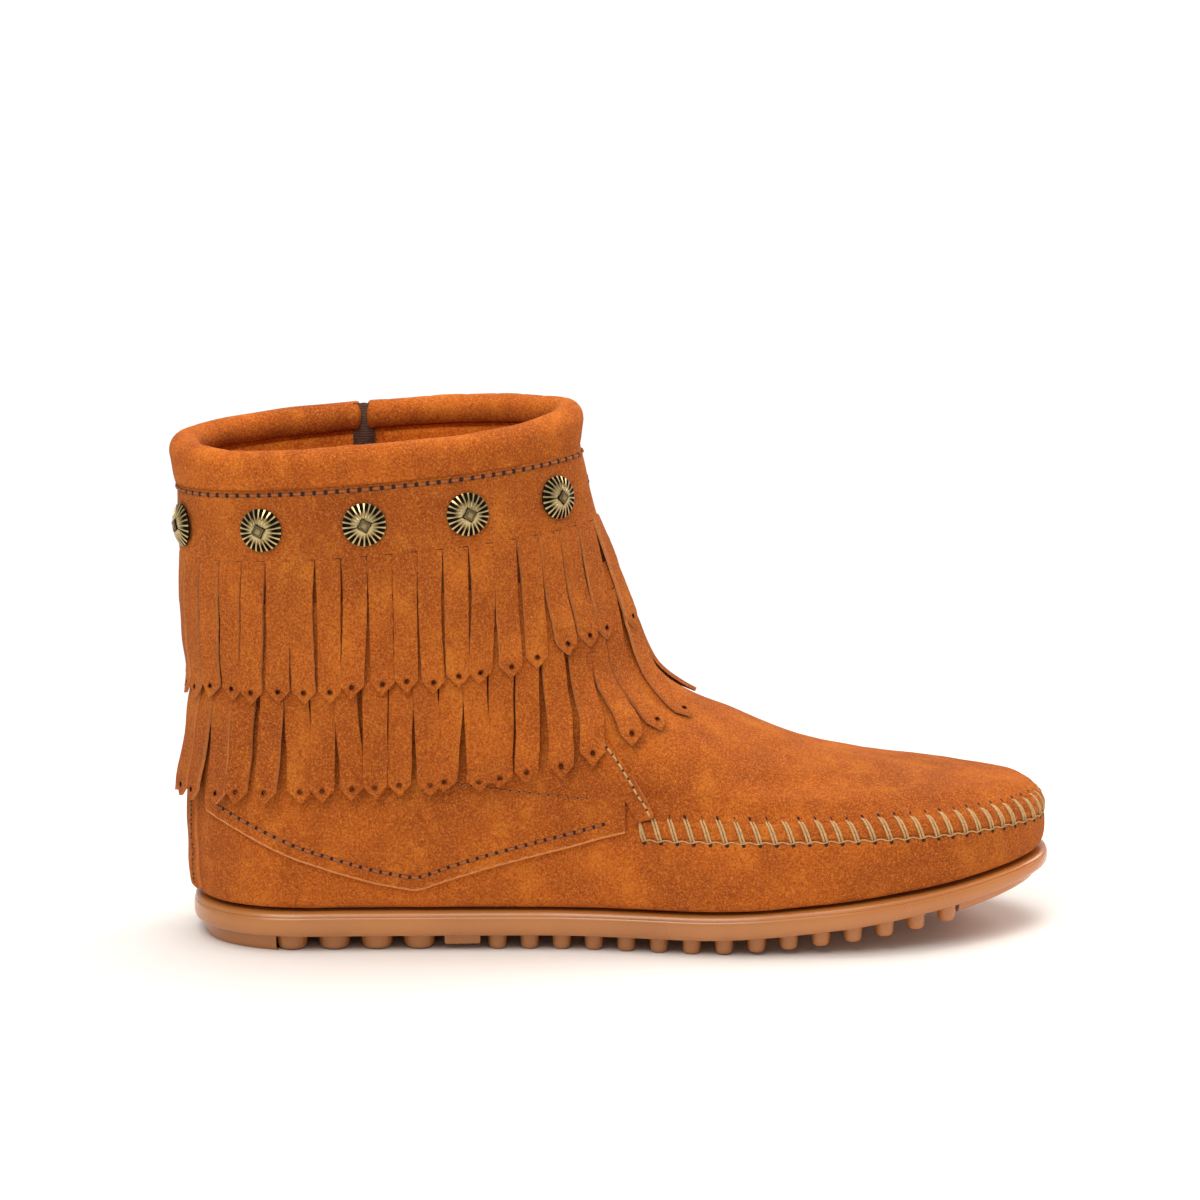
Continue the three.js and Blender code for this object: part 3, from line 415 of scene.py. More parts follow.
def crisp(piece, degrees=40):
    # Cut edges stay sharp while the curved sides stay smooth.
    only(piece)
    bpy.ops.object.shade_smooth_by_angle(angle=math.radians(degrees))


def gridFaces(columns, rows, closed=False, start=0):
    last = columns if closed else columns - 1
    row, column = np.meshgrid(np.arange(rows - 1), np.arange(last), indexing="ij")
    here = start + row * columns + column
    nextOne = start + row * columns + (column + 1) % columns
    quads = np.stack([here, nextOne, nextOne + columns, here + columns], axis=-1)
    return quads.reshape(-1, 4)


def cappedFaces(columns, rows):
    # Faces of a tube of rings with both ends filled.
    faces = gridFaces(columns, rows, True)[:, ::-1].tolist()
    faces.append(list(range(columns)))
    faces.append([(rows - 1) * columns + item for item in reversed(range(columns))])
    return faces


class Batch:
    # Many small surfaces joined in one mesh.
    def __init__(self):
        self.points, self.faces, self.uvs, self.count = [], [], [], 0

    def add(self, points, faces, uv=None):
        points = np.asarray(points, dtype=float).reshape(-1, 3)
        self.points.append(points)
        self.faces.extend([[self.count + int(corner) for corner in one] for one in faces])
        uv = np.zeros((len(points), 2)) if uv is None else uv
        self.uvs.append(np.asarray(uv, dtype=float).reshape(-1, 2))
        self.count += len(points)

    def build(self, name, material, smoothShading=True):
        return meshObject(name, np.concatenate(self.points), self.faces, material,
                          np.concatenate(self.uvs), smoothShading)


def sheetPoints(outer, inner, columns, rows, closed=False):
    # Closed solid between two grids of points of the same shape, outer face first.
    outer = outer.reshape(-1, 3)
    inner = inner.reshape(-1, 3)
    count = columns * rows
    front = gridFaces(columns, rows, closed)
    back = front[:, ::-1] + count
    faces = [front, back]
    lines = [np.arange(columns), (rows - 1) * columns + np.arange(columns)[::-1]]
    if closed:
        lines = [np.append(line, line[0]) for line in lines]
    else:
        lines += [np.arange(rows) * columns + columns - 1, np.arange(rows)[::-1] * columns]
    for line in lines:
        a, b = line[:-1], line[1:]
        faces.append(np.stack([b, a, a + count, b + count], axis=-1))
    return np.concatenate([outer, inner]), np.concatenate(faces)


def tubeAlong(points, radius, sides):
    # Round tube along a line of points, closed at both ends; radius may be a list.
    points = np.asarray(points, dtype=float)
    radius = np.broadcast_to(np.asarray(radius, dtype=float), (len(points),))
    along = np.gradient(points, axis=0)
    along /= np.linalg.norm(along, axis=-1, keepdims=True)
    up = np.broadcast_to(np.array([0.0, 0.0, 1.0]), points.shape)
    side = np.cross(along, up)
    side /= np.maximum(np.linalg.norm(side, axis=-1, keepdims=True), 1e-9)
    up = np.cross(side, along)
    angles = 2 * np.pi * np.arange(sides) / sides
    turned = (np.cos(angles)[None, :, None] * side[:, None, :]
              + np.sin(angles)[None, :, None] * up[:, None, :])
    rings = points[:, None, :] + radius[:, None, None] * turned
    return rings.reshape(-1, 3), cappedFaces(sides, len(points))

# Materials


def rgb(red, green, blue):
    # Linear colour from 0 to 255 screen values.
    parts = [value / 255 for value in (red, green, blue)]
    linear = [part / 12.92 if part <= 0.04045 else ((part + 0.055) / 1.055) ** 2.4 for part in parts]
    return (*linear, 1.0)


class Field:
    # A socket of a node tree that can be added, multiplied and fed to other nodes.
    def __init__(self, tree, socket):
        self.tree = tree
        self.socket = socket

    def node(self, kind, inputs=None, out=0, **settings):
        made = self.tree.nodes.new(kind)
        for name, value in settings.items():
            setattr(made, name, value)
        for key, value in (inputs or {}).items():
            if isinstance(value, Field):
                self.tree.links.new(value.socket, made.inputs[key])
            else:
                made.inputs[key].default_value = value
        return Field(self.tree, made.outputs[out])

    def to(self, shader, name):
        self.tree.links.new(self.socket, shader.inputs[name])

    def parts(self):
        # The three numbers of a place or colour.
        split = self.tree.nodes.new("ShaderNodeSeparateXYZ")
        self.tree.links.new(self.socket, split.inputs[0])
        return [Field(self.tree, part) for part in split.outputs]

    def maths(self, operation, *values):
        made = self.tree.nodes.new("ShaderNodeMath")
        made.operation = operation
        for index, value in enumerate(values):
            if isinstance(value, Field):
                self.tree.links.new(value.socket, made.inputs[index])
            else:
                made.inputs[index].default_value = value
        return Field(self.tree, made.outputs[0])

    def __add__(self, other):
        return self.maths("ADD", self, other)

    def __radd__(self, other):
        return self.maths("ADD", other, self)

    def __sub__(self, other):
        return self.maths("SUBTRACT", self, other)

    def __rsub__(self, other):
        return self.maths("SUBTRACT", other, self)

    def __mul__(self, other):
        return self.maths("MULTIPLY", self, other)

    def __rmul__(self, other):
        return self.maths("MULTIPLY", other, self)

    def __pow__(self, other):
        return self.maths("POWER", self, other)

    def noise(self, scale, detail=3.0, roughness=0.5, stretch=None):
        place = self if stretch is None else self.node(
            "ShaderNodeVectorMath", {0: self, 1: stretch}, operation="MULTIPLY")
        return self.node("ShaderNodeTexNoise", {"Vector": place, "Scale": scale, "Detail": detail,
                                                "Roughness": roughness})

    def ramp(self, low, high, start=0.0, end=1.0):
        return self.node("ShaderNodeMapRange", {"Value": self, "From Min": low, "From Max": high,
                                                "To Min": start, "To Max": end})

    def colour(self, a, b):
        # Blend from colour a to colour b by this share.
        made = self.tree.nodes.new("ShaderNodeMix")
        made.data_type = "RGBA"
        self.tree.links.new(self.socket, made.inputs["Factor"])
        for key, value in ((6, a), (7, b)):
            if isinstance(value, Field):
                self.tree.links.new(value.socket, made.inputs[key])
            else:
                made.inputs[key].default_value = value
        return Field(self.tree, made.outputs[2])


def newMaterial(name):
    made = bpy.data.materials.new(name)
    made.use_nodes = True
    tree = made.node_tree
    shader = tree.nodes["Principled BSDF"]
    place = Field(tree, tree.nodes.new("ShaderNodeTexCoord").outputs["Object"])
    return made, shader, place


def uvParts(place):
    return place.node("ShaderNodeUVMap", uv_map="place").parts()[:2]


def bump(height, strength, distance, under=None):
    inputs = {"Height": height, "Strength": strength, "Distance": distance}
    if under is not None:
        inputs["Normal"] = under
    return height.node("ShaderNodeBump", inputs)


punchedHole = {"fromTip": 3.2}
suedeTones = {"dark": (128, 54, 9), "mid": (176, 86, 20), "bright": (212, 122, 38)}


def suedeMaterial(name, lift=1.0, seed=0.0, hole=False):
    made, shader, place = newMaterial(name)
    shift = (seed, seed * 0.7, seed * 1.3)
    moved = place.node("ShaderNodeVectorMath", {0: place, 1: shift}, operation="ADD")
    cloud = moved.noise(28, 3, 0.5)
    brushed = moved.noise(95, 4, 0.6, (1.0, 1.0, 0.7))
    nap = moved.noise(1500, 4, 0.7)
    speck = moved.noise(3200, 2, 0.6)
    tones = {key: rgb(*[min(value * lift, 255) for value in tone]) for key, tone in suedeTones.items()}
    tone = cloud.ramp(0.3, 0.68, 0.35, 1.0).colour(tones["dark"], tones["mid"])
    tone = brushed.ramp(0.5, 0.72, 0.0, 0.5).colour(tone, tones["bright"])
    tone = brushed.ramp(0.48, 0.27, 0.0, 0.55).colour(tone, tones["dark"])
    tone = nap.ramp(0.51, 0.68, 0.0, 0.7).colour(tone, tones["bright"])
    tone = nap.ramp(0.49, 0.34, 0.0, 0.8).colour(tone, tones["dark"])
    tone = speck.ramp(0.56, 0.72, 0.0, 0.55).colour(tone, rgb(228, 150, 88))
    if hole:
        # Uv holds millimetres across the strip and from its tip.
        across, down = uvParts(place)
        down = down - punchedHole["fromTip"]
        away = (across * across + down * down) ** 0.5
        away.ramp(0.6, 0.74).to(shader, "Alpha")
        ring = away.ramp(1.3, 0.75, 0.0, 0.6)
        tone = ring.colour(tone, rgb(92, 40, 16))
    tone.to(shader, "Base Color")
    brushed.ramp(0.2, 0.8, 0.86, 0.98).to(shader, "Roughness")
    normal = bump(brushed, 0.25, 0.0008)
    normal = bump(nap, 0.6, 0.0007, normal)
    normal = bump(speck, 0.4, 0.0003, normal)
    normal.to(shader, "Normal")
    shader.inputs["Specular IOR Level"].default_value = 0.18
    shader.inputs["Sheen Weight"].default_value = 0.06
    shader.inputs["Sheen Roughness"].default_value = 0.5
    shader.inputs["Sheen Tint"].default_value = rgb(240, 170, 110)
    return made


def plainMaterial(name, colour, roughness=0.7, metallic=0.0, grain=0.0, scale=400.0, coat=0.0, darker=0.72):
    made, shader, place = newMaterial(name)
    wave = place.noise(scale, 3, 0.6)
    low = rgb(*[value * darker for value in colour])
    wave.ramp(0.25, 0.7).colour(low, rgb(*colour)).to(shader, "Base Color")
    wave.ramp(0.2, 0.8, max(roughness - 0.08, 0.02), min(roughness + 0.08, 1.0)).to(shader, "Roughness")
    shader.inputs["Metallic"].default_value = metallic
    shader.inputs["Coat Weight"].default_value = coat
    if grain > 0:
        bump(wave, 0.6, grain * mm).to(shader, "Normal")
    return made


suede = suedeMaterial("suede body")
suedeFringe = suedeMaterial("suede fringe", 0.97, 5.7, hole=True)
suedeEdge = plainMaterial("suede raw edge", (206, 126, 64), 0.95, grain=0.2, scale=1300, darker=0.8)
suedeCollar = suedeMaterial("suede collar", 1.06, 8.3)
suedeOverlay = suedeMaterial("suede overlay", 0.99, 11.9)
# Painted light: the inside suede is a brightened copy of the body suede, lifting the shade inside the shaft.
suedeInsideBrightened = suedeMaterial("suede inside", 1.3, 14.2)
threadLight = plainMaterial("beige thread", (204, 160, 104), 0.8, grain=0.25, scale=1500)
threadDark = plainMaterial("tan thread", (168, 98, 48), 0.85, grain=0.2, scale=1500)
# Painted shade: this dark colour on the needle-hole discs stands in for the shade inside the holes.
needleHoleShade = plainMaterial("needle hole", (52, 22, 10), 1.0)

# Upper: outer skin and lining, slit for the zip on the medial side

skinGrid = {"front": 346, "back": 104, "rows": 128, "slitWidth": 5.0, "zipX": 38.0, "zipBottom": 30.0}


def skinLevels(count):
    # Levels at even steps of height along the lateral side.
    levels = np.linspace(0.0, rimLevel, 400)
    lengths = distances(face(levels, np.full(400, 0.3)))
    return np.interp(np.linspace(0.0, lengths[-1], count), lengths, levels)


def skinColumns(levels, front, back):
    # Columns that run along the two edges of the slit, for each level.
    half = skinGrid["slitWidth"] / 2
    frontEdge = aroundAtX(levels, skinGrid["zipX"] + half, 1)
    backEdge = aroundAtX(levels, skinGrid["zipX"] - half, 1)
    first = np.linspace(0.0, 1.0, front)[None, :] * frontEdge[:, None]
    second = backEdge[:, None] + np.linspace(0.0, 1.0, back)[None, :] * (1 - backEdge[:, None])
    return first, second


def slitSheet(front, back, rows, offset, flipped):
    levels = skinLevels(rows)
    first, second = skinColumns(levels, front, back)
    around = np.concatenate([first, second[:, :-1]], axis=1)
    levelGrid = np.broadcast_to(levels[:, None], around.shape)
    points = skin(levelGrid, around, offset)
    columns = around.shape[1]
    faces = gridFaces(columns, rows, True)
    # Faces between the slit's two edges go above the zip's lower end.
    column = faces[:, 0] % columns
    high = points.reshape(-1, 3)[faces[:, 0], 2] > skinGrid["zipBottom"]
    faces = faces[~((column == front - 1) & high)]
    if flipped:
        faces = faces[:, ::-1]
    return points, faces, levels, first[:, -1], second[:, 0]


def buildUpper():
    outer, faces, levels, frontEdge, backEdge = slitSheet(
        skinGrid["front"], skinGrid["back"], skinGrid["rows"], 0.0, False)
    points = [outer.reshape(-1, 3)]
    allFaces = [faces]
    count = len(points[0])
    # Cut edges of the slit, as thick as the suede.
    parted = levels > np.interp(skinGrid["zipBottom"], face(levels, frontEdge)[:, 2], levels)
    for around, turned in ((frontEdge, False), (backEdge, True)):
        edgeLevels, edgeAround = levels[parted], around[parted]
        strip = np.stack([skin(edgeLevels, edgeAround, depth) for depth in (0.0, -upper["wall"])], axis=1)
        quads = gridFaces(2, len(edgeLevels), False, count)
        points.append(strip.reshape(-1, 3))
        allFaces.append(quads[:, ::-1] if turned else quads)
        count += strip.shape[0] * 2
    piece = meshObject("upper_suede", np.concatenate(points), np.concatenate(allFaces), suede)
    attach(piece, "boot")
    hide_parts("upper")
    inner, innerFaces, _, _, _ = slitSheet(172, 52, 64, -upper["wall"], True)
    # The lining wears the brightened inside suede, painted light for the shade inside the shaft.
    lining = meshObject("upper_lining", inner.reshape(-1, 3), innerFaces, suedeInsideBrightened)
    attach(lining, "boot")


buildUpper()
print("upper done")

# Overlays sewn onto the upper

overlay = {"gap": 0.2, "thickness": 1.3, "heelWidth": 25.0, "frontWidth": 5.2,
           "rawEdge": 0.6}
quarterAlong = [0.02, 0.04, 0.06, 0.086, 0.12, 0.165, 0.21, 0.253,
                0.262, 0.3, 0.345, 0.39, 0.435, 0.468, 0.495]
quarterLow = [0.565, 0.535, 0.5, 0.455, 0.4, 0.345, 0.298, 0.268,
              0.272, 0.32, 0.368, 0.41, 0.452, 0.488, 0.514]
sideNames = {-1: "lateral", 1: "medial"}
frontStripAlong = [0.5165, 0.509, 0.496, 0.48, 0.462, 0.452]
frontStripHeight = [0.585, 0.64, 0.72, 0.8, 0.88, 0.93]


def quarterEdge(x):
    return np.interp((x - soleBack) / sole["length"], quarterAlong, quarterLow) * upper["instep"]


def stripCentre(height):
    # X of the diagonal strip's middle line at a height.
    share = np.asarray(height, dtype=float) / upper["instep"]
    return soleX(np.interp(share, frontStripHeight, frontStripAlong))


def patch(xs, lowAt, highAt, rows, side, gap, thickness):
    shares = np.linspace(0.0, 1.0, rows - 1)
    xs = xs if side < 0 else xs[::-1]
    grid = np.broadcast_to(xs[None, :], (rows, len(xs)))
    low, high = lowAt(xs)[None, :], highAt(xs)[None, :]
    ragged = 0.12 * np.sin(xs * 1.7) + 0.1 * np.sin(xs * 4.1 + 1.0)
    heights = mix(np.minimum(low + overlay["rawEdge"] + ragged[None, :], high), high, shares[:, None])
    heights = np.concatenate([low, heights])
    level, around = placeOnSide(grid, heights, side)
    # The cut edge lies a little lower than the middle of the panel.
    lift = thickness * (0.78 + 0.22 * fade(0.0, 1.5, heights - low))
    lift = lift * (0.1 + 0.9 * fade(0.0, 9.0, 62.0 - heights))
    outer = skin(level, around, gap + lift)
    inner = skin(level, around, gap - 0.2)
    return sheetPoints(outer, inner, len(xs), rows)


def rawEdges(piece, flatCount, rimFaces=0):
    # The cut edges, after the faces of the two flat sides, show the raw inside of the suede.
    piece.data.materials.append(suedeEdge)
    index = np.zeros(len(piece.data.polygons), dtype=np.int32)
    index[flatCount:] = 1
    index[:rimFaces] = 1
    piece.data.polygons.foreach_set("material_index", index)
    crisp(piece)


def buildQuarter(side, node):
    xs = np.linspace(soleX(0.02), soleX(0.495), 110)

    def high(x):
        # Up to the diagonal strip at the front, and under the fringe elsewhere.
        edge = np.interp(x, stripCentre(np.linspace(36, 66, 30))[::-1], np.linspace(36, 66, 30)[::-1])
        return np.minimum(62.0, np.maximum(edge, quarterEdge(x) + 0.8))

    points, faces = patch(xs, quarterEdge, high, 34, side, overlay["gap"], overlay["thickness"])
    flatCount = 2 * (len(xs) - 1) * 33
    if side > 0:
        middle = points[faces].mean(axis=1)
        inSlit = (np.abs(middle[:, 0] - skinGrid["zipX"]) < skinGrid["slitWidth"] / 2 + 0.4)
        kept = ~(inSlit & (middle[:, 2] > skinGrid["zipBottom"]))
        flatCount = int(kept[:flatCount].sum())
        faces = faces[kept]
    piece = meshObject("quarter_panel_" + sideNames[side], points, faces, suedeOverlay)
    rawEdges(piece, flatCount, len(xs) - 1)
    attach(piece, "boot")
    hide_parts(node)


def buildFrontStrip(side, node):
    heights = np.linspace(40.0, 65.5, 40)
    across = np.linspace(-0.5, 0.5, 9)
    across = across if side < 0 else across[::-1]
    centre = stripCentre(heights)
    grid = centre[:, None] + across[None, :] * overlay["frontWidth"]
    # The strip runs along its own slope, so its ends are cut across it.
    rise = heights[:, None] + across[None, :] * 1.6
    level, around = placeOnSide(grid, rise, side)
    dome = 1.0 - 0.35 * (2 * np.abs(across)) ** 3
    lift = overlay["gap"] + overlay["thickness"] * (0.75 + 0.55 * dome)[None, :]
    outer = skin(level, around, np.broadcast_to(lift, grid.shape))
    inner = skin(level, around, overlay["gap"] - 0.2)
    points, faces = sheetPoints(outer, inner, len(across), len(heights))
    piece = meshObject("diagonal_strip_" + sideNames[side], points, faces, suedeOverlay)
    rawEdges(piece, 2 * (len(across) - 1) * (len(heights) - 1))
    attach(piece, "boot")
    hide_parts(node)


def buildHeelStrip():
    heights = np.linspace(15.5, 61.0, 44)
    shares = np.linspace(-0.5, 0.5, 33)
    around, level = [], []
    for height in heights:
        ring = Ring(lambda places, at=height: levelAtHeight(places, at))
        taper = 1.0 - 0.16 * float(fade(20.0, 50.0, height))
        places = ring.aroundAt(shares * overlay["heelWidth"] * taper)
        around.append(places)
        level.append(levelAtHeight(places, height))
    around, level = np.array(around), np.array(level)
    edge = 0.6 + 0.4 * np.minimum(fade(0.0, 1.2, (0.5 - np.abs(shares)) * overlay["heelWidth"]), 1.0)
    lift = overlay["thickness"] * np.broadcast_to(edge[None, :], level.shape)
    outer = skin(level, around, overlay["gap"] + lift)
    inner = skin(level, around, overlay["gap"] - 0.2)
    points, faces = sheetPoints(outer, inner, len(shares), len(heights))
    piece = meshObject("heel_strip_suede", points, faces, suedeOverlay)
    rawEdges(piece, 2 * (len(shares) - 1) * (len(heights) - 1))
    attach(piece, "boot")
    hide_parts("heel_strip")


buildQuarter(-1, "quarter_lateral")
buildQuarter(1, "quarter_medial")
buildFrontStrip(-1, "front_strip_lateral")
buildFrontStrip(1, "front_strip_medial")
buildHeelStrip()
print("overlays done")

# Fringe tiers

layer = {"gap": 0.5, "thickness": 1.0, "overlayThickness": 0.9, "slitDrop": 26.0, "lowerDrop": 40.0,
         "quarterDrop": 80.0, "lowerLength": 51.0, "flare": 1.0, "tierGap": 0.5, "parting": 12.0,
         "pitch": 7.2}
quarterCover = layer["gap"] + layer["overlayThickness"] + upper["clearance"]


def lowerOffset(drop):
    onShaft = np.clip((drop - layer["lowerDrop"]) / (layer["quarterDrop"] - layer["lowerDrop"]), 0.0, 1.0)
    reach = layer["lowerDrop"] + layer["lowerLength"] - layer["quarterDrop"]
    below = np.clip((drop - layer["quarterDrop"]) / reach, 0.0, 1.0)
    return layer["gap"] + onShaft * (quarterCover - layer["gap"]) + below * layer["flare"]


def upperOffset(drop):
    onBand = np.clip((drop - layer["slitDrop"]) / (layer["lowerDrop"] - layer["slitDrop"]), 0.0, 1.0)
    return lowerOffset(drop) + onBand * (layer["thickness"] + layer["tierGap"])


def zipDistance(ring, height):
    return float(ring.distanceAt(placeOnSide(skinGrid["zipX"], height, 1)[1]))


def fallStep(level, around, stride):
    # Next place down the steepest way over the face.
    rise, run, _ = frameAt(level, around)
    upUp = (rise * rise).sum(-1)
    runRun = (run * run).sum(-1)
    cross = (rise * run).sum(-1)
    determinant = upUp * runRun - cross * cross
    levelStep = (-rise[..., 2] * runRun + run[..., 2] * cross) / determinant
    aroundStep = (-run[..., 2] * upUp + rise[..., 2] * cross) / determinant
    move = rise * levelStep[..., None] + run * aroundStep[..., None]
    scale = stride / np.linalg.norm(move, axis=-1)
    return level + levelStep * scale, around + aroundStep * scale


tiers = {
    "upper": {"node": "fringe_upper", "topDrop": 0.6, "slitDrop": 26.0, "length": 41.0,
              "frontShortening": 7.5, "offset": upperOffset, "seed": 2.0, "material": suedeFringe,
              "sway": 1.0, "flare": 0.7, "width": 6.7, "settle": 0.2},
    "lower": {"node": "fringe_lower", "topDrop": 38.5, "slitDrop": 46.0, "length": 51.0,
              "frontShortening": 4.5, "offset": lowerOffset, "seed": 7.0, "material": suedeFringe,
              "sway": 1.5, "flare": 1.2, "width": 7.0, "settle": 0.75},
}
stripShape = {"steps": 26, "across": 7, "tip": 3.5, "tipRows": 7}


def buildTier(tier):
    ring = Ring(lambda places: levelBelowRim(places, tier["slitDrop"]))
    start = zipDistance(ring, rimHeight(0.75) - tier["slitDrop"]) + layer["parting"] / 2
    room = ring.total - layer["parting"]
    count = int(room // layer["pitch"])
    pitch = room / count
    # Band above the slits.
    columns = count * 8 + 1
    around = ring.aroundAt(start + np.linspace(0.0, room, columns))
    drops = np.linspace(tier["slitDrop"], tier["topDrop"], 34 if tier["slitDrop"] < 30 else 7)
    level = np.stack([levelBelowRim(around, drop) for drop in drops])
    grid = np.broadcast_to(around[None, :], level.shape)
    offset = tier["offset"](drops)[:, None] + np.zeros(level.shape)
    outer = skin(level, grid, offset + layer["thickness"])
    inner = skin(level, grid, offset)
    points, faces = sheetPoints(outer, inner, columns, len(drops))
    batch = Batch()
    indices = []
    batch.add(points, faces, np.full((len(points), 2), 90.0))
    frontCount = (columns - 1) * (len(drops) - 1)
    indices += [0] * (frontCount * 2) + [1] * (len(faces) - frontCount * 2)
    # Strips, each with its own small sway, twist and lift.
    middles = ring.aroundAt(start + (np.arange(count) + 0.5) * pitch)
    frontness = np.maximum(0.0, -np.cos(2 * np.pi * middles))
    reach = tier["length"] - tier["frontShortening"] * frontness ** 2
    reach = reach + np.array([(seeded(item, tier["seed"], 9.0) - 0.5) * 1.6 for item in range(count)])
    steps = stripShape["steps"]
    level = levelBelowRim(middles, tier["slitDrop"])
    around = middles.copy()
    places = [(level, around)]
    tipRows = stripShape["tipRows"]
    tipStart = 1 - stripShape["tip"] / reach.mean()
    share = np.concatenate([np.linspace(0.0, tipStart, steps + 1 - tipRows),
                            np.linspace(tipStart, 1.0, tipRows + 1)[1:]])
    for stride in np.diff(share):
        for _ in range(2):
            level, around = fallStep(level, around, stride * reach / 2)
        places.append((level, around))
    levels = np.array([place[0] for place in places])
    arounds = np.array([place[1] for place in places])
    normal = frameAt(levels, arounds)[2]
    distance = share[:, None] * reach[None, :]
    # Strips over the instep lie closer to it.
    settle = 1 - tier["settle"] * frontness[None, :] ** 3 * fade(0.1, 0.6, share)[:, None]
    centre = skin(levels, arounds, tier["offset"](tier["slitDrop"] + distance) * settle)
    sideways = np.cross(-np.gradient(centre, axis=0), normal)
    sideways /= np.linalg.norm(sideways, axis=-1, keepdims=True)
    across = np.linspace(-1.0, 1.0, stripShape["across"])
    for item in range(count):
        random = [seeded(item, tier["seed"], extra) * 2 - 1 for extra in range(8)]
        bendAt = share ** 1.6
        sway = (random[0] * 1.1 * bendAt + random[1] * 0.5 * np.sin(share * np.pi * 1.5)) * tier["sway"]
        lift = (0.75 + 0.6 * abs(random[2])) * bendAt * tier["flare"]
        lift = lift + 0.3 * (item % 2) * fade(0.0, 0.3, share)
        lift = lift * (1 - 0.95 * frontness[item] ** 2)
        twist = random[3] * 0.13 * bendAt * tier["sway"]
        cup = 0.1 + 0.06 * random[4]
        width = np.interp(distance[:, item], [0.0, 5.0, 16.0], [pitch * 0.99, pitch * 0.97, tier["width"]])
        width = width + 0.3 * random[5] * fade(0.1, 0.5, share)
        # The tip is cut to a point, a little off its middle.
        left = reach[item] - distance[:, item]
        point = np.clip(left / stripShape["tip"], 0.0, 1.0)
        half = width / 2 * (0.05 + 0.95 * point)
        lean = random[6] * 0.35 * (1 - point)
        outward = normal[:, item]
        side = sideways[:, item]
        turned = side * np.cos(twist)[:, None] + outward * np.sin(twist)[:, None]
        facing = outward * np.cos(twist)[:, None] - side * np.sin(twist)[:, None]
        middle = centre[:, item] + side * (sway + lean)[:, None] + outward * lift[:, None]
        ragged = 0.06 * np.sin(distance[:, item] * 2.1 + item)
        spread = across[None, :, None] * (half + ragged * point)[:, None, None]
        dip = cup * (across ** 2)[None, :, None] * fade(0.05, 0.4, share)[:, None, None]
        surface = middle[:, None, :] + spread * turned[:, None, :] - dip * facing[:, None, :]
        outer = surface + facing[:, None, :] * layer["thickness"]
        # Rows go from the tip up, so that the faces turn outwards.
        points, faces = sheetPoints(outer[::-1], surface[::-1], stripShape["across"], steps + 1)
        flat = np.stack([np.broadcast_to(across[None, :] * half[::-1, None], outer.shape[:2]),
                         np.broadcast_to(left[::-1, None], outer.shape[:2])], axis=-1).reshape(-1, 2)
        frontCount = (stripShape["across"] - 1) * steps
        indices += [0] * (frontCount * 2) + [1] * (len(faces) - frontCount * 2)
        batch.add(points, faces, np.concatenate([flat, flat]))
    piece = batch.build("fringe_tier_" + tier["node"][7:], tier["material"])
    piece.data.materials.append(suedeEdge)
    piece.data.polygons.foreach_set("material_index", np.array(indices, dtype=np.int32))
    crisp(piece)
    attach(piece, "boot")
    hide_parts(tier["node"])


buildTier(tiers["lower"])
buildTier(tiers["upper"])
print("fringe done")

# Collar: padded roll with its wrinkles

collar = {"radius": 4.5, "flat": 3.6, "parting": 1.6, "steps": 420, "sides": 36, "lip": 6.3,
          "lipOut": 2.9, "wear": 3.0}


def collarWear(around):
    # The lateral side is worn a little lower than the zip's side.
    return collar["wear"] * fade(-0.2, 0.9, np.sin(2 * np.pi * around))


def collarLine(count):
    ring = Ring(lambda places: np.full(np.shape(places), rimLevel))
    start = zipDistance(ring, rimHeight(0.75)) + collar["parting"] / 2
    distance = start + np.linspace(0.0, ring.total - collar["parting"], count)
    around = ring.aroundAt(distance)
    normal = frameAt(rimLevel, around)[2]
    outwards = normal * np.array([1.0, 1.0, 0.0])
    outwards /= np.linalg.norm(outwards, axis=-1, keepdims=True)
    centre = face(rimLevel, around) - normal * upper["wall"] / 2
    centre[:, 2] += collar["flat"] + upper["clearance"] - collarWear(around)
    return distance, around, centre, outwards


def buildCollar():
    distance, around, centre, outwards = collarLine(collar["steps"])
    lipLength = collar["flat"] + collar["lip"] - collarWear(around)
    angles = 2 * np.pi * np.arange(collar["sides"]) / collar["sides"]
    d, a = distance[:, None], angles[None, :]
    swell = 0.1 * np.sin(d * 0.11 + 1.0) + 0.08 * np.sin(d * 0.29 + 2 * np.sin(a))
    # Short wrinkles run across the roll on its outer side.
    wrinkle = -0.16 * np.clip(np.sin(d * 0.63 + 1.9 * np.sin(d * 0.071) + 0.8 * np.sin(a)), 0.0, 1.0) ** 6
    wrinkle = wrinkle * (0.5 + 0.5 * np.sin(d * 0.043 + 0.6)) * fade(-0.4, 0.4, np.sin(a + 0.6))
    ends = np.minimum(distance - distance[0], distance[-1] - distance)
    close = (0.6 + 0.4 * np.sqrt(np.clip(1 - (1 - np.clip(ends / 1.4, 0.0, 1.0)) ** 2, 0.0, 1.0)))[:, None]
    radius = (collar["radius"] + swell + wrinkle) * close
    across = np.cos(angles)[None, :] * radius
    up = np.maximum(np.sin(angles)[None, :] * radius, -collar["flat"])
    # The roll's outer side runs on down to its stitch line.
    lip = fade(0.15, 0.75, -np.sin(a)) * fade(-0.15, 0.35, np.cos(a))
    turn = np.clip(-np.sin(a), 0.0, 1.0)
    up = mix(up, -lipLength[:, None] * turn ** 1.15, lip)
    lipAcross = collar["lipOut"] + (radius - collar["lipOut"]) * np.cos(turn * np.pi / 2) ** 0.9
    across = mix(across, lipAcross, lip)
    points = (centre[:, None, :] + outwards[:, None, :] * across[..., None]
              + np.array([0.0, 0.0, 1.0]) * up[..., None])
    faces = cappedFaces(collar["sides"], len(distance))
    piece = meshObject("collar_padded_roll", points.reshape(-1, 3), faces, suedeCollar)
    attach(piece, "boot")
    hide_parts("collar_roll")


buildCollar()
print("collar done")

# Moccasin seam and its thread

seamRoll = {"width": 5.2, "height": 0.9, "rows": 13, "columns": 760}


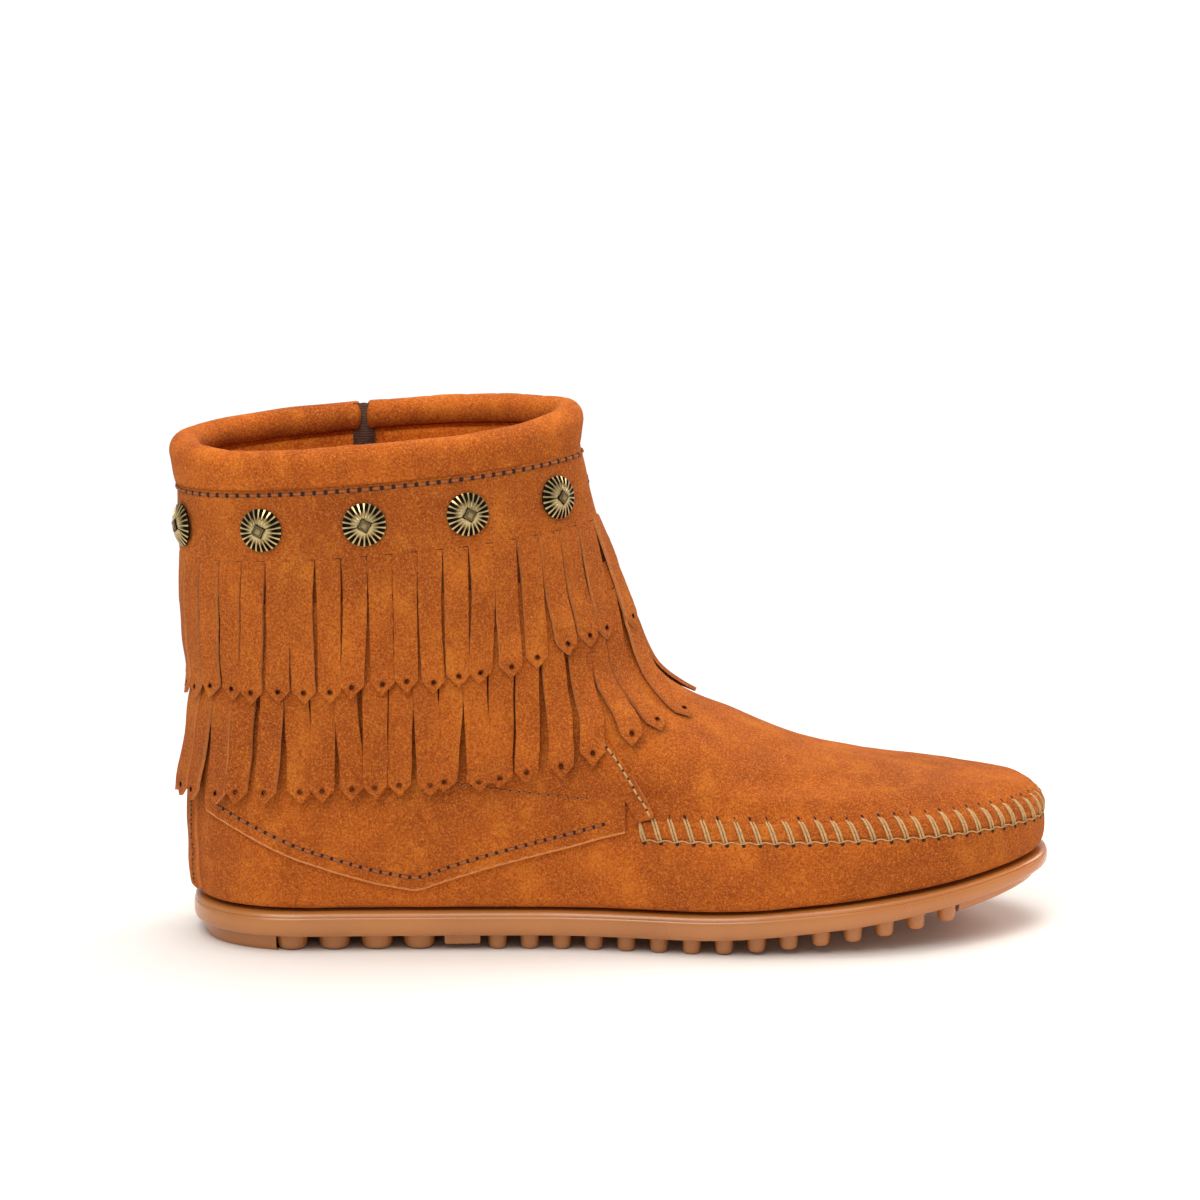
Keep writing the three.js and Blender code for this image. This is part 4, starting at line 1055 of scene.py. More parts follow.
def buildSeamRoll():
    around = np.linspace(seam["from"], seam["to"], seamRoll["columns"])
    across = np.linspace(-0.5, 0.5, seamRoll["rows"])
    level = seamLevel(around, across[:, None] * seamRoll["width"])
    grid = np.broadcast_to(around[None, :], level.shape)
    phase = seamPhase(around)[None, :]
    pinch = 0.24 * (0.5 + 0.5 * np.cos(phase)) ** 2
    dome = np.sqrt(np.clip(1 - (2 * across) ** 2, 0.0, 1.0))[:, None]
    outer = skin(level, grid, 0.05 + seamRoll["height"] * dome * (1 - pinch))
    inner = skin(level, grid, -0.25)
    points, faces = sheetPoints(outer, inner, len(around), len(across))
    piece = meshObject("moccasin_seam_roll", points, faces, suedeOverlay)
    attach(piece, "boot")
    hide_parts("plug_seam")


def disc(batch, centre, normal, radius):
    # Painted shade: a small dark disc just over the surface stands for the shade inside a needle hole.
    side = np.cross(normal, [0.0, 0.0, 1.0])
    side /= max(np.linalg.norm(side), 1e-6)
    up = np.cross(side, normal)
    angles = 2 * np.pi * np.arange(8) / 8
    turned = np.cos(angles)[:, None] * side + np.sin(angles)[:, None] * up
    points = centre + normal * 0.07 + radius * turned
    batch.add(points, [list(range(8))[::-1]])


def stitch(batch, points, radius, sides=6):
    tube, faces = tubeAlong(points, radius, sides)
    batch.add(tube, faces)


# Heights of a strand across the roll with its radius there, and the places of the needle holes.
whip = {"across": [3.6, 2.9, 1.9, 0.9, 0.0, -0.9, -1.9, -2.9, -3.7],
        "radius": [0.24, 0.33, 0.36, 0.37, 0.37, 0.37, 0.36, 0.33, 0.24],
        "hole": 4.1, "holeRadius": 0.62, "lean": 0.2, "pair": 0.86, "shift": 0.75, "top": 3.9}


def buildWhipStitches():
    thread, holes, running = Batch(), Batch(), Batch()
    count = int(seam["length"] / seam["pitch"])
    for item in range(count + 1):
        distance = min(item * seam["pitch"], seam["length"] - 0.2)
        jitter = [seeded(item, extra, 31.0) - 0.5 for extra in range(4)]
        towardsToe = 1 if distance < seam["length"] / 2 else -1
        for strand in (-0.5, 0.5):
            # The stitch leans towards the toe as it goes down.
            across = np.array(whip["across"]) + jitter[0] * 0.5
            lean = (whip["top"] - across) * whip["lean"] + strand * whip["pair"]
            around = seamAround(distance + (lean - whip["shift"]) * towardsToe + jitter[1] * 0.3)
            level = seamLevel(around, across)
            overRoll = np.sqrt(np.clip(1 - (across / 2.5) ** 2, 0.0, 1.0)) * seamRoll["height"] * 0.8
            lift = overRoll + 0.3
            lift[[0, -1]] = -0.35
            points = skin(level, around, lift)
            stitch(thread, points, whip["radius"])
        for end in (whip["hole"], -whip["hole"]):
            lean = (whip["top"] - end) * whip["lean"] - whip["shift"]
            around = seamAround(distance + lean * towardsToe)
            level = seamLevel(around, end)
            normal = frameAt(level, around)[2]
            disc(holes, skin(level, around), normal, whip["holeRadius"])
    # Thin thread that joins the lower ends.
    line = np.linspace(0.3, seam["length"] - 0.3, 900)
    around = seamAround(line)
    wave = -3.35 - 0.3 * np.cos(2 * np.pi * line / seam["pitch"])
    points = skin(seamLevel(around, wave), around, 0.12)
    stitch(running, points, 0.2)
    for name, batch, material in (("moccasin_whip_thread", thread, threadLight),
                                  ("moccasin_needle_holes", holes, needleHoleShade),
                                  ("moccasin_running_thread", running, threadLight)):
        piece = batch.build(name, material)
        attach(piece, "boot")


buildSeamRoll()
buildWhipStitches()
print("moccasin seam done")

# Lines of small stitches


def stitchLine(thread, holes, line, offset, length=1.9, gap=1.0, radius=0.38, hole=0.6):
    # Line: function from a share to level and around, with an even spread of shares.
    shares = np.linspace(0.0, 1.0, 500)
    level, around = line(shares)
    lengths = distances(face(level, around))
    count = int(lengths[-1] / (length + gap))
    for item in range(count):
        start = item * (length + gap) + (seeded(item, 3.0, 17.0) - 0.5) * 0.25
        spots = start + length * np.array([0.0, 0.16, 0.5, 0.84, 1.0])
        at = np.interp(spots, lengths, shares)
        levels, arounds = line(at)
        lift = offset + radius * np.array([-0.9, 0.55, 0.8, 0.55, -0.9])
        stitch(thread, skin(levels, arounds, lift), radius, 5)
        spot = np.interp(start + length + gap / 2, lengths, shares)
        level, around = line(spot)
        normal = frameAt(level, around)[2]
        disc(holes, skin(level, around, offset), normal, hole)


def sideLine(xs, zs, side):
    # Line on one side of the boot through places given as X and Z.
    keys = np.linspace(0.0, 1.0, len(xs))
    fine = np.linspace(0.0, 1.0, 90)
    level, around = placeOnSide(np.interp(fine, keys, xs), np.interp(fine, keys, zs), side)
    return lambda share: (np.interp(share, fine, level), np.interp(share, fine, around))


def ringLine(drop, parting):
    ring = Ring(lambda places: levelBelowRim(places, drop))
    start = zipDistance(ring, rimHeight(0.75) - drop) + parting / 2

    def line(share):
        around = ring.aroundAt(start + np.asarray(share) * (ring.total - parting))
        return levelBelowRim(around, drop), around

    return line


# Thin line from under the fringe to the diagonal strip.
faintLine = {"x": [56.6, 82.0, 97.5, 103.0], "z": [51.5, 48.0, 46.2, 46.4]}


def buildStitchLines():
    tan, light, holes = Batch(), Batch(), Batch()
    onOverlay = overlay["gap"] + overlay["thickness"]
    stitchLine(tan, holes, ringLine(7.0, 3.0), layer["gap"] + layer["thickness"], 2.0, 1.2, 0.4, 0.75)
    for side in (-1, 1):
        xs = np.linspace(soleX(0.034), soleX(0.478), 40)
        zs = quarterEdge(xs) + 4.1
        cut = [share for share in range(len(xs)) if side < 0 or abs(xs[share] - skinGrid["zipX"]) > 4.0]
        if side < 0:
            stitchLine(tan, holes, sideLine(xs, zs, side), onOverlay)
        else:
            gapAt = next(index for index, share in enumerate(cut) if xs[share] > skinGrid["zipX"])
            for part in (cut[:gapAt], cut[gapAt:]):
                stitchLine(tan, holes, sideLine(xs[part], zs[part], side), onOverlay)
        stitchLine(tan, holes, sideLine(faintLine["x"], faintLine["z"], side), onOverlay, 2.0, 0.8, 0.2, 0.26)
        heights = np.linspace(41.0, 65.0, 30)
        stitchLine(light, holes, sideLine(stripCentre(heights) + 1.7, heights, side), onOverlay + 0.3,
                   1.9, 0.8, 0.32, 0.4)
        backs = np.linspace(17.0, 58.0, 30)
        xs = []
        for height in backs:
            ring = Ring(lambda places, at=height: levelAtHeight(places, at))
            taper = 1.0 - 0.16 * float(fade(20.0, 50.0, height))
            away = (overlay["heelWidth"] / 2 - 1.6) * taper
            around = ring.aroundAt(away if side < 0 else ring.total - away)
            xs.append(float(around))
        level = np.array([float(levelAtHeight(around, height)) for around, height in zip(xs, backs)])
        fine = np.linspace(0.0, 1.0, len(backs))
        arounds = np.array(xs)
        stitchLine(tan, holes, lambda share, level=level, arounds=arounds:
                   (np.interp(share, fine, level), np.interp(share, fine, arounds)), onOverlay)
    for name, batch, material in (("tan_stitches", tan, threadDark), ("light_stitches", light, threadLight),
                                  ("stitch_holes", holes, needleHoleShade)):
        piece = batch.build(name, material)
        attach(piece, "boot")


buildStitchLines()
print("stitches done")

# Outsole: band, plates, bar and domed pegs

tread = {"inset": 3.2, "sink": 1.2, "heelPlateEnd": 0.085, "toePlateStart": 0.892, "toePlateHeight": 3.0,
         "widePegs": {"rows": 4, "start": 0.114, "pitch": 12.3, "spacing": 18.0, "diameter": 9.3},
         "narrowPegs": {"rows": 15, "start": 0.35, "pitch": 9.3, "spacing": 21.0, "diameter": 5.5},
         "barStart": 0.289, "barLength": 10.3, "barLift": 1.7, "pegSides": 14}
bandHeights = [0.0, 0.04, 0.12, 0.24, 0.4, 0.55, 0.68, 0.76, 0.79, 0.82, 0.9, 0.96, 1.0]
bandInsets = [1.9, 0.95, 0.35, 0.06, 0.0, 0.02, 0.12, 0.26, 0.46, 0.36, 0.55, 0.95, 1.6]


def solePlan(inset, start=0.0, end=1.0, stations=130):
    steps = (1 - np.cos(np.pi * np.linspace(0.0, 1.0, stations + 1))) / 2
    share = mix(start, end, steps)
    x = mix(soleBack + inset, soleTip - inset, share)
    sides = []
    for side in (-1, 1):
        pulledIn = inset * roundEnd(share, inset / sole["length"] + sole["heelRound"] / 2)
        half = outlineHalf(share, side) - pulledIn
        sides.append(np.stack([x, side * np.maximum(half, 0.0)], axis=-1))
    return np.concatenate([sides[0], sides[1][1:stations][::-1]])


def stack(batch, rings):
    # Closed solid from rings of points given from the bottom up.
    count = len(rings[0])
    faces = gridFaces(count, len(rings), True).tolist()
    half = count // 2
    top = (len(rings) - 1) * count
    for step in range(half):
        far, farNext = (count - step) % count, count - step - 1
        low = [step, far, farNext, step + 1] if step and farNext != step + 1 else (
            [step, farNext, step + 1] if farNext != step + 1 else [step, far, step + 1])
        faces.append(low)
        faces.append([top + corner for corner in reversed(low)])
    batch.add(np.concatenate(rings), faces)


def ringAt(plan, heights):
    return np.concatenate([plan, np.broadcast_to(heights, (len(plan),))[:, None]], axis=-1)


def endPlate(batch, start, end, height):
    rings = []
    for inset, share in ((0.75, 0.0), (0.2, 0.1), (0.0, 0.3), (0.0, 1.0)):
        plan = solePlan(tread["inset"] + inset, start, end, 60)
        low = soleBase(plan[:, 0]) - height
        rings.append(ringAt(plan, mix(low, soleBase(plan[:, 0]) + tread["sink"], share)))
    stack(batch, rings)


def pegPlaces(kind):
    places = []
    for row in range(kind["rows"]):
        x = soleX(kind["start"]) + row * kind["pitch"]
        share = (x - soleBack) / sole["length"]
        edge = tread["inset"] + kind["diameter"] / 2
        low = -float(outlineHalf(share, -1)) + edge
        high = float(outlineHalf(share, 1)) - edge
        count = round((high - low) / kind["spacing"]) + 1
        places += [(x, mix(low, high, step / (count - 1))) for step in range(count)]
    return places


def addPeg(batch, x, y, diameter):
    radius = diameter / 2
    base = float(soleBase(x))
    top = base + tread["sink"] + sole["toeSpring"] * float(springShare(x + radius) - springShare(x))
    bottom = base - sole["pegHeight"]
    # A domed peg with a small flat tip that stands on the floor.
    profile = [(1.12, top), (1.0, base - 0.6), (0.95, bottom + 1.5), (0.87, bottom + 0.75),
               (0.68, bottom + 0.22), (0.42, bottom)]
    sides = tread["pegSides"]
    angles = 2 * np.pi * np.arange(sides) / sides
    rings = [np.stack([x + radius * share * np.cos(angles), y + radius * share * np.sin(angles),
                       np.full(sides, height)], axis=-1) for share, height in profile]
    batch.add(np.concatenate(rings), cappedFaces(sides, len(rings)))


def buildSole():
    batch = Batch()
    rings = []
    for height, inset in zip(bandHeights, bandInsets):
        plan = solePlan(inset)
        x = plan[:, 0]
        rings.append(ringAt(plan, mix(soleBase(x), soleTop(x), height)))
    stack(batch, rings)
    endPlate(batch, 0.0, tread["heelPlateEnd"], sole["pegHeight"])
    endPlate(batch, tread["toePlateStart"], 1.0, tread["toePlateHeight"])
    x = soleX(tread["barStart"])
    share = tread["barStart"] + tread["barLength"] / 2 / sole["length"]
    low = -float(outlineHalf(share, -1)) + tread["inset"]
    high = float(outlineHalf(share, 1)) - tread["inset"]
    end, lift = x + tread["barLength"], tread["barLift"]
    bar = []
    for inset, height in ((0.8, lift), (0.2, lift + 0.3), (0.0, lift + 1.0),
                          (0.0, float(soleBase(x)) + tread["sink"])):
        bar.append(np.array([[x + inset, low + inset, height], [end - inset, low + inset, height],
                             [end - inset, high - inset, height], [x + inset, high - inset, height]]))
    faces = gridFaces(4, 4, True).tolist() + [[0, 3, 2, 1], [12, 13, 14, 15]]
    batch.add(np.concatenate(bar), faces)
    for kind in (tread["widePegs"], tread["narrowPegs"]):
        for x, y in pegPlaces(kind):
            addPeg(batch, x, y, kind["diameter"])
    piece = batch.build("gum_sole", gum)
    crisp(piece, 38)
    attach(piece, "boot")
    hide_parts("outsole")


def gumMaterial():
    made, shader, place = newMaterial("gum rubber")
    cloud = place.noise(30, 3)
    grain = place.noise(900, 3)
    tone = cloud.ramp(0.3, 0.7).colour(rgb(158, 97, 44), rgb(176, 112, 53))
    x, _, z = place.parts()
    tone = x.ramp(0.15, 0.235, 0.0, 0.5).colour(tone, rgb(206, 124, 58))
    tone = z.ramp(0.0035, 0.0, 0.0, 0.5).colour(tone, rgb(146, 92, 54))
    tone.to(shader, "Base Color")
    cloud.ramp(0.3, 0.7, 0.24, 0.36).to(shader, "Roughness")
    bump(grain, 0.25, 0.0001).to(shader, "Normal")
    shader.inputs["Subsurface Weight"].default_value = 0.1
    shader.inputs["Subsurface Radius"].default_value = (1.0, 0.45, 0.2)
    shader.inputs["Subsurface Scale"].default_value = 0.0035
    shader.inputs["Coat Weight"].default_value = 0.25
    shader.inputs["Coat Roughness"].default_value = 0.2
    return made


gum = gumMaterial()
buildSole()


def buildInsole():
    batch = Batch()
    rings = []
    for inset, height in ((9.4, 0.3), (9.2, 0.5), (9.2, 1.9), (9.6, 2.1)):
        plan = solePlan(inset, stations=70)
        rings.append(ringAt(plan, soleTop(plan[:, 0]) + height))
    stack(batch, rings)
    board = plainMaterial("sock board", (150, 98, 58), 0.85, grain=0.1, scale=900, darker=0.86)
    piece = batch.build("sock_board", board)
    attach(piece, "boot")
    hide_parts("insole")


buildInsole()
print("sole done")

# Conchos: domed fluted discs of antique brass with a square on its corner

concho = {"diameter": 12.7, "rise": 2.0, "rim": 0.4, "flutes": 22, "count": 9, "pitch": 29.3,
          "drop": 17.0, "shift": -8.7, "gap": 1.8, "square": 2.9, "diamond": 1.5}
flute = {"outer": 0.7, "inner": 0.2, "length": 5.6, "away": 4.3, "height": 1.12, "tilt": 66}
conchoBall = ((concho["diameter"] / 2) ** 2 + concho["rise"] ** 2) / (2 * concho["rise"])


def brassMaterial(name, patina):
    made, shader, place = newMaterial(name)
    stain = place.noise(420, 4, 0.6)
    scratch = place.noise(1500, 3, 0.6)
    groove = uvParts(place)[1]
    dark = groove.ramp(0.05, 0.6, 0.0, patina) + stain.ramp(0.5, 0.8, 0.0, 0.35)
    tone = stain.ramp(0.3, 0.7).colour(rgb(168, 142, 92), rgb(214, 192, 140))
    tone = dark.maths("MINIMUM", dark, 1.0).colour(tone, rgb(26, 18, 11))
    tone.to(shader, "Base Color")
    dark.ramp(0.0, 1.0, 0.26, 0.62).to(shader, "Roughness")
    bump(scratch, 0.3, 0.00008).to(shader, "Normal")
    shader.inputs["Metallic"].default_value = 0.95
    return made


antiqueBrass = brassMaterial("antique brass", 1.0)


def applyModifier(piece, kind, **settings):
    only(piece)
    modifier = piece.modifiers.new(kind.lower(), kind)
    for name, value in settings.items():
        setattr(modifier, name, value)
    bpy.ops.object.modifier_apply(modifier=modifier.name)


def useUp(piece, other, operation="DIFFERENCE"):
    # Cut the other piece away, or join it on, and drop it.
    applyModifier(piece, "BOOLEAN", operation=operation, object=other, solver="EXACT")
    bpy.data.objects.remove(other)


def raisedBlock(size, height, share, bevel):
    # Low square block that stands on its corner.
    bpy.ops.mesh.primitive_cube_add(size=size, location=(0, 0, height), rotation=(0, 0, math.pi / 4))
    piece = bpy.context.active_object
    bpy.ops.transform.resize(value=(1.0, 1.0, share))
    bpy.ops.object.transform_apply(location=False, rotation=False, scale=True)
    applyModifier(piece, "BEVEL", width=bevel, segments=2)
    return piece


def joinAll(pieces, name):
    bpy.ops.object.select_all(action="DESELECT")
    for piece in pieces:
        piece.select_set(True)
    bpy.context.view_layer.objects.active = pieces[0]
    bpy.ops.object.join()
    pieces[0].name = name
    return pieces[0]


def oneConcho():
    # Modelled in millimetres about the origin, facing +Z.
    radius, rise, ball = concho["diameter"] / 2, concho["rise"], conchoBall
    bpy.ops.mesh.primitive_uv_sphere_add(segments=88, ring_count=96, radius=ball, location=(
        0, 0, rise + concho["rim"] - ball))
    dome = bpy.context.active_object
    bpy.ops.object.transform_apply(location=True, rotation=False, scale=True)
    bpy.ops.object.mode_set(mode="EDIT")
    bpy.ops.mesh.select_all(action="SELECT")
    bpy.ops.mesh.bisect(plane_co=(0, 0, concho["rim"]), plane_no=(0, 0, 1), clear_inner=True, use_fill=True)
    bpy.ops.object.mode_set(mode="OBJECT")
    cutters = []
    fluteHeight = concho["rim"] + flute["height"]
    for item in range(concho["flutes"]):
        angle = 2 * math.pi * item / concho["flutes"]
        bpy.ops.mesh.primitive_cone_add(
            vertices=12, radius1=flute["outer"], radius2=flute["inner"], depth=flute["length"],
            location=(math.cos(angle) * flute["away"], math.sin(angle) * flute["away"], fluteHeight),
            rotation=(0, math.radians(-flute["tilt"]), angle))
        cutters.append(bpy.context.active_object)
    cutter = joinAll(cutters, "flute_cutter")
    useUp(dome, cutter)
    bpy.ops.mesh.primitive_cylinder_add(
        vertices=44, radius=radius * 0.97, depth=concho["rim"] + 0.06, location=(0, 0, concho["rim"] / 2))
    base = bpy.context.active_object
    top = rise + concho["rim"]
    square = raisedBlock(concho["square"], top, 0.18, 0.1)
    diamond = raisedBlock(concho["diamond"], top + 0.3, 0.26, 0.08)
    piece = joinAll([dome, base, square, diamond], "concho")
    only(piece)
    bpy.ops.object.transform_apply(location=True, rotation=True, scale=True)
    bpy.ops.object.shade_smooth_by_angle(angle=math.radians(32))
    return piece


def buildConchos():
    pattern = oneConcho()
    data = pattern.data
    count = len(data.vertices)
    flat = np.empty(count * 3)
    data.vertices.foreach_get("co", flat)
    flat = flat.reshape(-1, 3)
    away = np.hypot(flat[:, 0], flat[:, 1])
    # How deep a point lies under the dome that touches the ridges.
    radius = concho["diameter"] / 2
    ideal = np.sqrt(conchoBall ** 2 - np.minimum(away, radius) ** 2) - conchoBall
    ideal = ideal + concho["rise"] + concho["rim"]
    deep = np.clip((ideal - flat[:, 2] - 0.03) / 0.12, 0.0, 1.0) * (away > 1.75)
    rim = fade(0.97, 1.0, away / radius) * 0.6
    corner = np.abs(flat[:, 0]) + np.abs(flat[:, 1])
    halo = bell(corner - concho["square"] * 0.74, 0.3) * 0.8
    halo = halo + bell(corner - concho["diamond"] * 0.74, 0.2) * 0.5
    groove = np.clip(np.maximum(deep, rim) + halo, 0.0, 1.0)
    ring = Ring(lambda places: levelBelowRim(places, concho["drop"]))
    start = zipDistance(ring, rimHeight(0.75) - concho["drop"]) + ring.total / 2 + concho["shift"]
    sets = []
    for item in range(concho["count"]):
        around = ring.aroundAt(start + (item - (concho["count"] - 1) / 2) * concho["pitch"])
        level = levelBelowRim(around, concho["drop"])
        rise, _, normal = frameAt(level, around)
        up = rise / np.linalg.norm(rise)
        side = np.cross(up, normal)
        turn = (seeded(item, 5.0, 2.0) - 0.5) * 0.7
        sideways = side * math.cos(turn) + up * math.sin(turn)
        upwards = up * math.cos(turn) - side * math.sin(turn)
        centre = skin(level, around, concho["gap"])
        placed = (centre + flat[:, :1] * sideways + flat[:, 1:2] * upwards + flat[:, 2:] * normal)
        copy = data.copy()
        copy.vertices.foreach_set("co", (placed * mm).ravel())
        layerData = placeLayer(copy)
        corners = np.empty(len(copy.loops), dtype=np.int32)
        copy.loops.foreach_get("vertex_index", corners)
        uv = np.stack([away / radius, groove], axis=-1)
        layerData.data.foreach_set("uv", uv[corners].astype(np.float32).ravel())
        copy.materials.clear()
        copy.materials.append(antiqueBrass)
        copy.update()
        piece = bpy.data.objects.new(f"fluted_concho_{item + 1:02d}", copy)
        bpy.context.scene.collection.objects.link(piece)
        sets.append(piece)
    bpy.data.objects.remove(pattern)
    for item, piece in enumerate(sets):
        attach(piece, "boot")
        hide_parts(f"concho_{item + 1:02d}")


buildConchos()
print("conchos done")

# Zip on the medial side: tape, teeth, slider and pull tab

zipSizes = {"x": skinGrid["zipX"], "bottom": skinGrid["zipBottom"], "tapeWidth": 22.0,
            "tapeThickness": 0.8, "toothPitch": 1.7, "sliderDrop": 9.0, "sliderWidth": 7.2,
            "sliderLength": 9.4, "sliderThickness": 1.8,
            "archWidth": 1.6, "archLength": 7.0, "archThickness": 0.9, "barDiameter": 1.2, "play": 0.35,
            "pullLength": 24.0, "pullWidth": 6.6, "pullThickness": 1.2, "pullHole": 3.0, "facing": 15.0}
zipTop = float(rimHeight(0.75))
sliderZ = zipTop - zipSizes["sliderDrop"]


def sliderFace():
    level, around = placeOnSide(zipSizes["x"], sliderZ, 1)
    return float((face(level, around) + frameAt(level, around)[2] * upper["clearance"] * 2)[..., 1])


sliderY = sliderFace()
pivotY = sliderY + zipSizes["sliderThickness"] + zipSizes["barDiameter"] / 2 + zipSizes["play"]


def tapeMaterial():
    made, shader, place = newMaterial("woven zip tape")
    wave = {"Vector": place, "Scale": 420.0, "Distortion": 0.6, "Detail": 2.0}
    weave = place.node("ShaderNodeTexWave", wave, out=1, bands_direction="Z")
    fuzz = place.noise(1300, 3)
    tone = fuzz.ramp(0.3, 0.7).colour(rgb(58, 34, 20), rgb(92, 58, 34))
    tone = weave.ramp(0.3, 0.7, 0.0, 0.4).colour(tone, rgb(40, 24, 15))
    tone.to(shader, "Base Color")
    fuzz.ramp(0.2, 0.8, 0.8, 0.95).to(shader, "Roughness")
    bump(weave, 0.5, 0.00025).to(shader, "Normal")
    return made


def buildTape():
    inner = -upper["wall"] - 0.5
    low, high = zipSizes["bottom"] - zipSizes["tapeWidth"] / 4, zipTop - 1.0
    # The wide part ends under the facing.
    heights = np.linspace(low, zipTop - zipSizes["facing"], 70)
    shares = np.linspace(0.5, -0.5, 15)
    grid, tall = np.meshgrid(zipSizes["x"] + shares * zipSizes["tapeWidth"], heights)
    level, around = placeOnSide(grid, tall, 1)
    normal = frameAt(level, around)[2]
    base = face(level, around)
    points, faces = sheetPoints(base + normal * inner, base + normal * (inner - zipSizes["tapeThickness"]),
                                len(shares), len(heights))
    batch = Batch()
    batch.add(points, faces)
    # The tape's own top runs up between the ends of the collar.
    level, around = placeOnSide(zipSizes["x"], high, 1)
    spot = face(level, around)
    foot = zipTop - zipSizes["facing"] - 2.0
    inside = (foot, zipTop + 7.6, 3.2, -3.2, -2.4)
    between = (high - 2.0, zipTop + 7.2, 0.7, -2.5, 0.9)
    for z0, z1, half, y0, y1 in (inside, between):
        corners = [spot + np.array([x, y, 0.0]) for x in (-half, half) for y in (y0, y1)]
        box = np.array([[c[0], c[1], z] for z in (z0, z1) for c in corners])
        batch.add(box, [[0, 1, 3, 2], [4, 6, 7, 5], [0, 4, 5, 1], [2, 3, 7, 6], [1, 5, 7, 3], [0, 2, 6, 4]])
    piece = batch.build("zip_tape_woven", tapeMaterial())
    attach(piece, "boot")
    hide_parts("zip_tape")


def buildTeeth():
    batch = Batch()
    start, end = zipSizes["bottom"] + 2.0, zipTop - 1.4
    count = int((end - start) / zipSizes["toothPitch"] * 2)
    heights = start + np.arange(count) * zipSizes["toothPitch"] / 2
    level, around = placeOnSide(np.full(count, zipSizes["x"]), heights, 1)
    rise, _, normal = frameAt(level, around)
    base = face(level, around)
    up = rise / np.linalg.norm(rise, axis=-1, keepdims=True)
    across = np.cross(up, normal)
    for item in range(count):
        side = 1 if item % 2 else -1
        # Corners of a tooth: root wide on the tape, head narrow past the middle.
        shape = [(-0.5, -0.42), (-0.5, 0.42), (1.6, 0.5), (2.3, 0.34), (2.3, -0.34), (1.6, -0.5)]
        rings = []
        for lift, shrink in ((-2.6, 1.0), (-1.25, 1.0), (-0.95, 0.8)):
            rings.append([base[item] + across[item] * side * (-a * shrink + 0.55) + up[item] * b * shrink
                          + normal[item] * lift for a, b in shape])
        points = np.array(rings).reshape(-1, 3)
        faces = gridFaces(6, 3, True)
        caps = [list(range(6)), [12 + corner for corner in reversed(range(6))]]
        faces = faces.tolist()
        if side > 0:
            faces, caps = [one[::-1] for one in faces], caps
        else:
            caps = [one[::-1] for one in caps]
        batch.add(points, faces + caps, np.tile([[0.3, 0.25]], (18, 1)))
    piece = batch.build("zip_teeth", zipBrass, False)
    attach(piece, "boot")


zipBrass = brassMaterial("zip brass", 0.8)


def scaleToMetres(piece):
    only(piece)
    bpy.ops.object.transform_apply(location=True, rotation=True, scale=True)
    flat = np.empty(len(piece.data.vertices) * 3)
    piece.data.vertices.foreach_get("co", flat)
    piece.data.vertices.foreach_set("co", flat * mm)
    layerData = placeLayer(piece.data)
    layerData.data.foreach_set("uv", np.full(len(piece.data.loops) * 2, 0.2, dtype=np.float32))
    piece.data.materials.clear()
    piece.data.materials.append(zipBrass)
    piece.data.update()
    bpy.ops.object.shade_smooth_by_angle(angle=math.radians(35))


def block(size, place, bevel, segments=3):
    bpy.ops.object.select_all(action="DESELECT")
    bpy.ops.mesh.primitive_cube_add(size=1.0, location=place)
    piece = bpy.context.active_object
    bpy.ops.transform.resize(value=size)
    bpy.ops.object.transform_apply(location=False, rotation=False, scale=True)
    if bevel > 0:
        applyModifier(piece, "BEVEL", width=bevel, segments=segments)
    return piece


def buildSlider():
    x, z = zipSizes["x"], sliderZ
    thick = zipSizes["sliderThickness"]
    plate = block((zipSizes["sliderWidth"], thick, zipSizes["sliderLength"]),
                  (x, sliderY + thick / 2, z), 0.6, 4)
    # Wider shoulders and a notch below show which way it runs.
    for side in (-1, 1):
        bpy.ops.mesh.primitive_cylinder_add(vertices=24, radius=2.4, depth=thick * 3, location=(
            x + side * 4.9, sliderY + thick / 2, z - 4.6), rotation=(math.pi / 2, 0, 0))
        useUp(plate, bpy.context.active_object)
    reach = zipSizes["barDiameter"] + 2 * zipSizes["play"] + zipSizes["archThickness"]
    leg = (zipSizes["archLength"] - zipSizes["barDiameter"] - 4 * zipSizes["play"]) / 2
    parts = [plate]
    for end in (-1, 1):
        legZ = z + end * (zipSizes["archLength"] - leg) / 2
        parts.append(block((zipSizes["archWidth"], reach + 0.6, leg),
                           (x, sliderY + thick + (reach - 0.6) / 2, legZ), 0.2))
    parts.append(block((zipSizes["archWidth"], zipSizes["archThickness"], zipSizes["archLength"]),
                       (x, sliderY + thick + reach - zipSizes["archThickness"] / 2, z), 0.3))
    piece = joinAll(parts, "zip_slider_body")
    scaleToMetres(piece)
    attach(piece, "boot")
    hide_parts("zip_slider")


